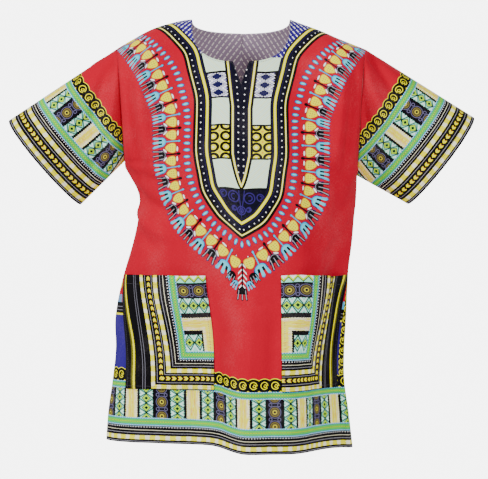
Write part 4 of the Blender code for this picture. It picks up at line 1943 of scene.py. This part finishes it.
@dataclass
class Sleeve:
    """A short wide sleeve, one tube sewn to the armhole."""

    panels: BodyPanels
    cotton: Cotton
    name: str
    cuff_top: tuple[float, float]
    cuff_low: tuple[float, float]
    depth: float = 0.070
    taper: float = 0.62
    bow: float = 0.0095
    rows: int = 48
    wall: float = 0.0008
    seam_gap: float = 0.0003
    fold_turn: float = 0.30
    fold_width: float = 0.07
    fold_depth: float = 0.009
    print_shift: float = 0.028
    stitch_height: float = 0.0100

    @property
    def outward_sign(self) -> float:
        """Returns 1 for the right sleeve and -1 for the left one."""
        return math.copysign(1.0, self.cuff_top[0])

    def cuff_ring(self, turns: np.ndarray) -> np.ndarray:
        """Draws the open end.

        Args:
            turns: Places round it, 0 at the top, a quarter at the front and a half below.

        Returns:
            Its points.
        """
        top = np.array([self.cuff_top[0], 0.0, self.cuff_top[1]])
        drop = np.array([self.cuff_low[0], 0.0, self.cuff_low[1]]) - top
        sign = self.outward_sign
        along = np.array([-drop[2] * sign, 0.0, drop[0] * sign]) / np.linalg.norm(drop)
        ring = []
        for turn in turns * 2 * math.pi:
            down = (1 - math.cos(turn)) / 2
            reach = self.depth * math.sin(turn) * (1 - self.taper * down)
            bow = self.bow * math.sin(turn) * (1.0 if math.sin(turn) > 0 else 0.5)
            ring.append(top + drop * down + along * bow + np.array([0.0, -reach, 0.0]))
        return np.array(ring)

    def grid(self) -> tuple[np.ndarray, np.ndarray, np.ndarray, np.ndarray]:
        """Works out the tube.

        Returns:
            Its points, from armhole to cuff and once round from below, its normals, and the flat
            cloth's distances round it from the top and up it from the cuff.
        """
        edge = -1 if self.outward_sign > 0 else 0
        front, back = self.panels.grids[Side.FRONT], self.panels.grids[Side.BACK]
        first = front.points.shape[0] - 1 - front.rows_chest
        up_back = back.points[first:, edge]
        top = len(up_back) - 1
        armhole = np.concatenate([up_back, front.points[first:-1, edge][::-1]])
        armhole[[0, top, -1], 1] = 0.0
        turns = np.linspace(-0.5, 0.5, len(armhole))
        cuff = self.cuff_ring(turns)
        fold = np.exp(-(((turns % 1.0 - self.fold_turn) / self.fold_width) ** 2))
        tube = []
        for share in np.linspace(0.0, 1.0, self.rows + 1):
            inwards = fold * math.sin(math.pi * share) ** 2
            ring = armhole + (cuff - armhole) * share
            tube.append(ring + np.outer(inwards, [0.0, self.fold_depth, 0.0]))
        points = np.array(tube)
        points[0, :, 0] += self.outward_sign * self.seam_gap
        round_it = np.array([lengths_along(ring) for ring in points])
        round_it = round_it - round_it[:, top : top + 1]
        up_it = np.array([lengths_along(points[::-1, j])[::-1] for j in range(points.shape[1])]).T
        lift = sum(crease.lift(round_it, up_it) for crease in SLEEVE_CREASES[self.name])
        seam = eased(np.arange(self.rows + 1) / 3)[:, None]
        below = eased(np.minimum(np.arange(len(turns)), np.arange(len(turns))[::-1]) / 4)[None, :]
        points = points + self.normals(points) * (lift * seam * below)[..., None]
        return points, self.normals(points), round_it, up_it

    def normals(self, points: np.ndarray) -> np.ndarray:
        """Works out which way the closed tube faces.

        Args:
            points: Its points, with the first and last columns at one place.

        Returns:
            The outward unit normals.
        """
        wrapped = np.concatenate([points[:, -2:-1], points, points[:, 1:2]], axis=1)
        across = (wrapped[:, 2:] - wrapped[:, :-2]) / 2
        return unit_normals(across, np.gradient(points, axis=0), self.outward_sign)

    def print_of(self) -> bpy.types.Material:
        """Draws the sleeve's print and finishes its cloth.

        Returns:
            The finished material.
        """
        inks = Inks(f"{self.name}_cotton")
        s, d = inks.cloth_place("cloth")
        motifs = Motifs(inks, d, s, SLEEVE_BANDS)
        made = motifs.border(inks.tint(INK.red), d, s - self.print_shift)
        return self.cotton.finish(inks, made, s, d)

    def build(self) -> list[tuple[np.ndarray, np.ndarray]]:
        """Builds and dresses the sleeve.

        Returns:
            Its row of stitches.
        """
        points, outward, round_it, up_it = self.grid()
        shell = Shell(f"{self.name}_cloth", points, outward, self.wall)
        shell.add_map("cloth", round_it, up_it)
        piece = shell.build(self.print_of(), closed=True)
        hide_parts(self.name)
        area = shell.area()
        log.info("%s: %d faces, %.3f square metres", piece.name, len(piece.data.polygons), area)
        row = self.rows - round(self.stitch_height / (up_it[0].mean() / self.rows))
        return [(points[row], outward[row])]


@dataclass
class PatchPocket:
    """A patch pocket, sewn on the front on three sides and a little open at its mouth."""

    panels: BodyPanels
    cotton: Cotton
    name: str
    sign: int
    gape: float = 0.016
    gap: float = 0.0003
    cad_wall: float = 0.0015
    wall: float = 0.0009

    def build(self) -> list[tuple[np.ndarray, np.ndarray]]:
        """Builds and dresses the pocket.

        Returns:
            Its rows of stitches.
        """
        grid = self.panels.grids[Side.FRONT]
        rows = slice(grid.rows_low, grid.rows_low + grid.rows_pocket + 1)
        inner, outer = self.panels.form.pocket_shares
        shares = self.sign * grid.shares
        columns = np.flatnonzero((shares >= inner - 1e-6) & (shares <= outer + 1e-6))
        parts = (grid.points, grid.outward, np.abs(grid.u), grid.h)
        base, outward, u, h = (part[rows][:, columns] for part in parts)
        across = (u - u.min(axis=1, keepdims=True)) / np.ptp(u, axis=1)[:, None]
        height = np.linspace(0.0, 1.0, len(base))[:, None]
        swell = np.sin(math.pi * across**0.8) ** 1.2 * eased(height * 1.15 - 0.1)
        points = base + outward * (self.gap + self.cad_wall + self.gape * swell)[..., None]
        shell = Shell(f"{self.name}_cloth", points, outward, self.wall)
        from_outer = u.max(axis=1, keepdims=True) - u
        from_bottom = h - h.min(axis=0, keepdims=True)
        shell.add_map("cloth", from_outer, from_bottom)
        inks = Inks(f"{self.name}_cotton")
        a, b = inks.cloth_place("cloth")
        piece = shell.build(self.cotton.finish(inks, Motifs(inks, a, b).pocket(a, b), a, b))
        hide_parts(self.name)
        return self.stitch_rows(points, outward)

    @staticmethod
    def stitch_rows(points: np.ndarray, outward: np.ndarray) -> list[tuple[np.ndarray, np.ndarray]]:
        """Returns the rows sewn along the pocket's two sides, its bottom and its hemmed mouth."""
        lines = ((slice(None), 1), (slice(None), -2), (1, slice(None)), (-4, slice(None)))
        return [(points[line], outward[line]) for line in lines]


@dataclass(frozen=True)
class Lamp:
    """A soft square light that looks at the shirt: its place, its side and its power in watts."""

    name: str
    place: tuple[float, float, float]
    size: float
    power: float
    aim: tuple[float, float, float] = (0.0, 0.0, -0.38)

    def build(self) -> None:
        """Hangs the light."""
        data = bpy.data.lights.new(self.name, "AREA")
        data.shape = "SQUARE"
        data.size = self.size
        data.energy = self.power
        lamp = bpy.data.objects.new(self.name, data)
        lamp.location = self.place
        aim = Vector(self.aim) - Vector(self.place)
        lamp.rotation_euler = aim.to_track_quat("-Z", "Y").to_euler()
        bpy.context.scene.collection.objects.link(lamp)


@dataclass
class Studio:
    """A plain pale floor at standing height, soft light and the camera."""

    floor_z: float = -1.45
    floor_radius: float = 1.5
    floor_colour: tuple[float, float, float, float] = (0.82, 0.82, 0.81, 1.0)
    seen_sky: float = 6.0
    sky_light: float = 0.54
    camera_place: tuple[float, float, float] = (0.0054, -3.6, -0.396)
    focal_length: float = 147.6
    sensor_width: float = 36.0
    lamps: tuple[Lamp, ...] = (
        Lamp("key", (-2.7, -1.8, 1.2), 0.8, 122.0),
        Lamp("fill", (1.9, -3.0, 0.4), 1.8, 84.0),
        Lamp("back", (0.3, 2.6, 1.2), 2.2, 62.0),
    )

    def build(self) -> None:
        """Sets up the floor, the lights, the sky and the camera."""
        self.floor()
        self.sky()
        for lamp in self.lamps:
            lamp.build()
        data = bpy.data.cameras.new("camera")
        data.lens = self.focal_length
        data.sensor_width = self.sensor_width
        camera = bpy.data.objects.new("camera", data)
        camera.location = self.camera_place
        camera.rotation_euler = (math.pi / 2, 0.0, 0.0)
        bpy.context.scene.collection.objects.link(camera)
        bpy.context.scene.camera = camera

    def floor(self) -> None:
        """Lays the floor."""
        bm = bmesh.new()
        bmesh.ops.create_circle(bm, cap_ends=True, segments=96, radius=self.floor_radius)
        bmesh.ops.translate(bm, verts=bm.verts[:], vec=(0.0, 0.0, self.floor_z))
        inks = Inks("floor_paint")
        inks.shade({"Base Color": self.floor_colour, "Roughness": 0.7})
        linked(bm, "floor", inks.material)

    def sky(self) -> None:
        """Makes the background white, and the light that it gives softer."""
        world = bpy.data.worlds.new("studio")
        world.use_nodes = True
        tree = world.node_tree
        back = tree.nodes["Background"]
        back.inputs["Color"].default_value = (1.0, 1.0, 1.0, 1.0)
        path = tree.nodes.new("ShaderNodeLightPath")
        mix = tree.nodes.new("ShaderNodeMix")
        mix.inputs[2].default_value = self.sky_light
        mix.inputs[3].default_value = self.seen_sky
        tree.links.new(path.outputs["Is Camera Ray"], mix.inputs[0])
        tree.links.new(mix.outputs[0], back.inputs["Strength"])
        bpy.context.scene.world = world


def main() -> None:
    """Builds the studio and the shirt's pieces in order."""
    logging.basicConfig(level=logging.INFO, format="%(name)s: %(message)s")
    Studio().build()
    cotton = Cotton()
    panels = BodyPanels(BodyForm(), cotton)
    body_rows = panels.build()
    rows = []
    for name, top, low in (
        ("sleeve_left", (-0.416, -0.181), (-0.288, -0.333)),
        ("sleeve_right", (0.418, -0.176), (0.300, -0.332)),
    ):
        rows += Sleeve(panels, cotton, name, top, low).build()
    for name, sign in (("pocket_left", -1), ("pocket_right", 1)):
        rows += PatchPocket(panels, cotton, name, sign).build()
    stitches = Thread().build("stitches", rows + body_rows)
    log.info("stitches: %d faces", len(stitches.data.polygons))


if __name__ == "__main__":
    main()
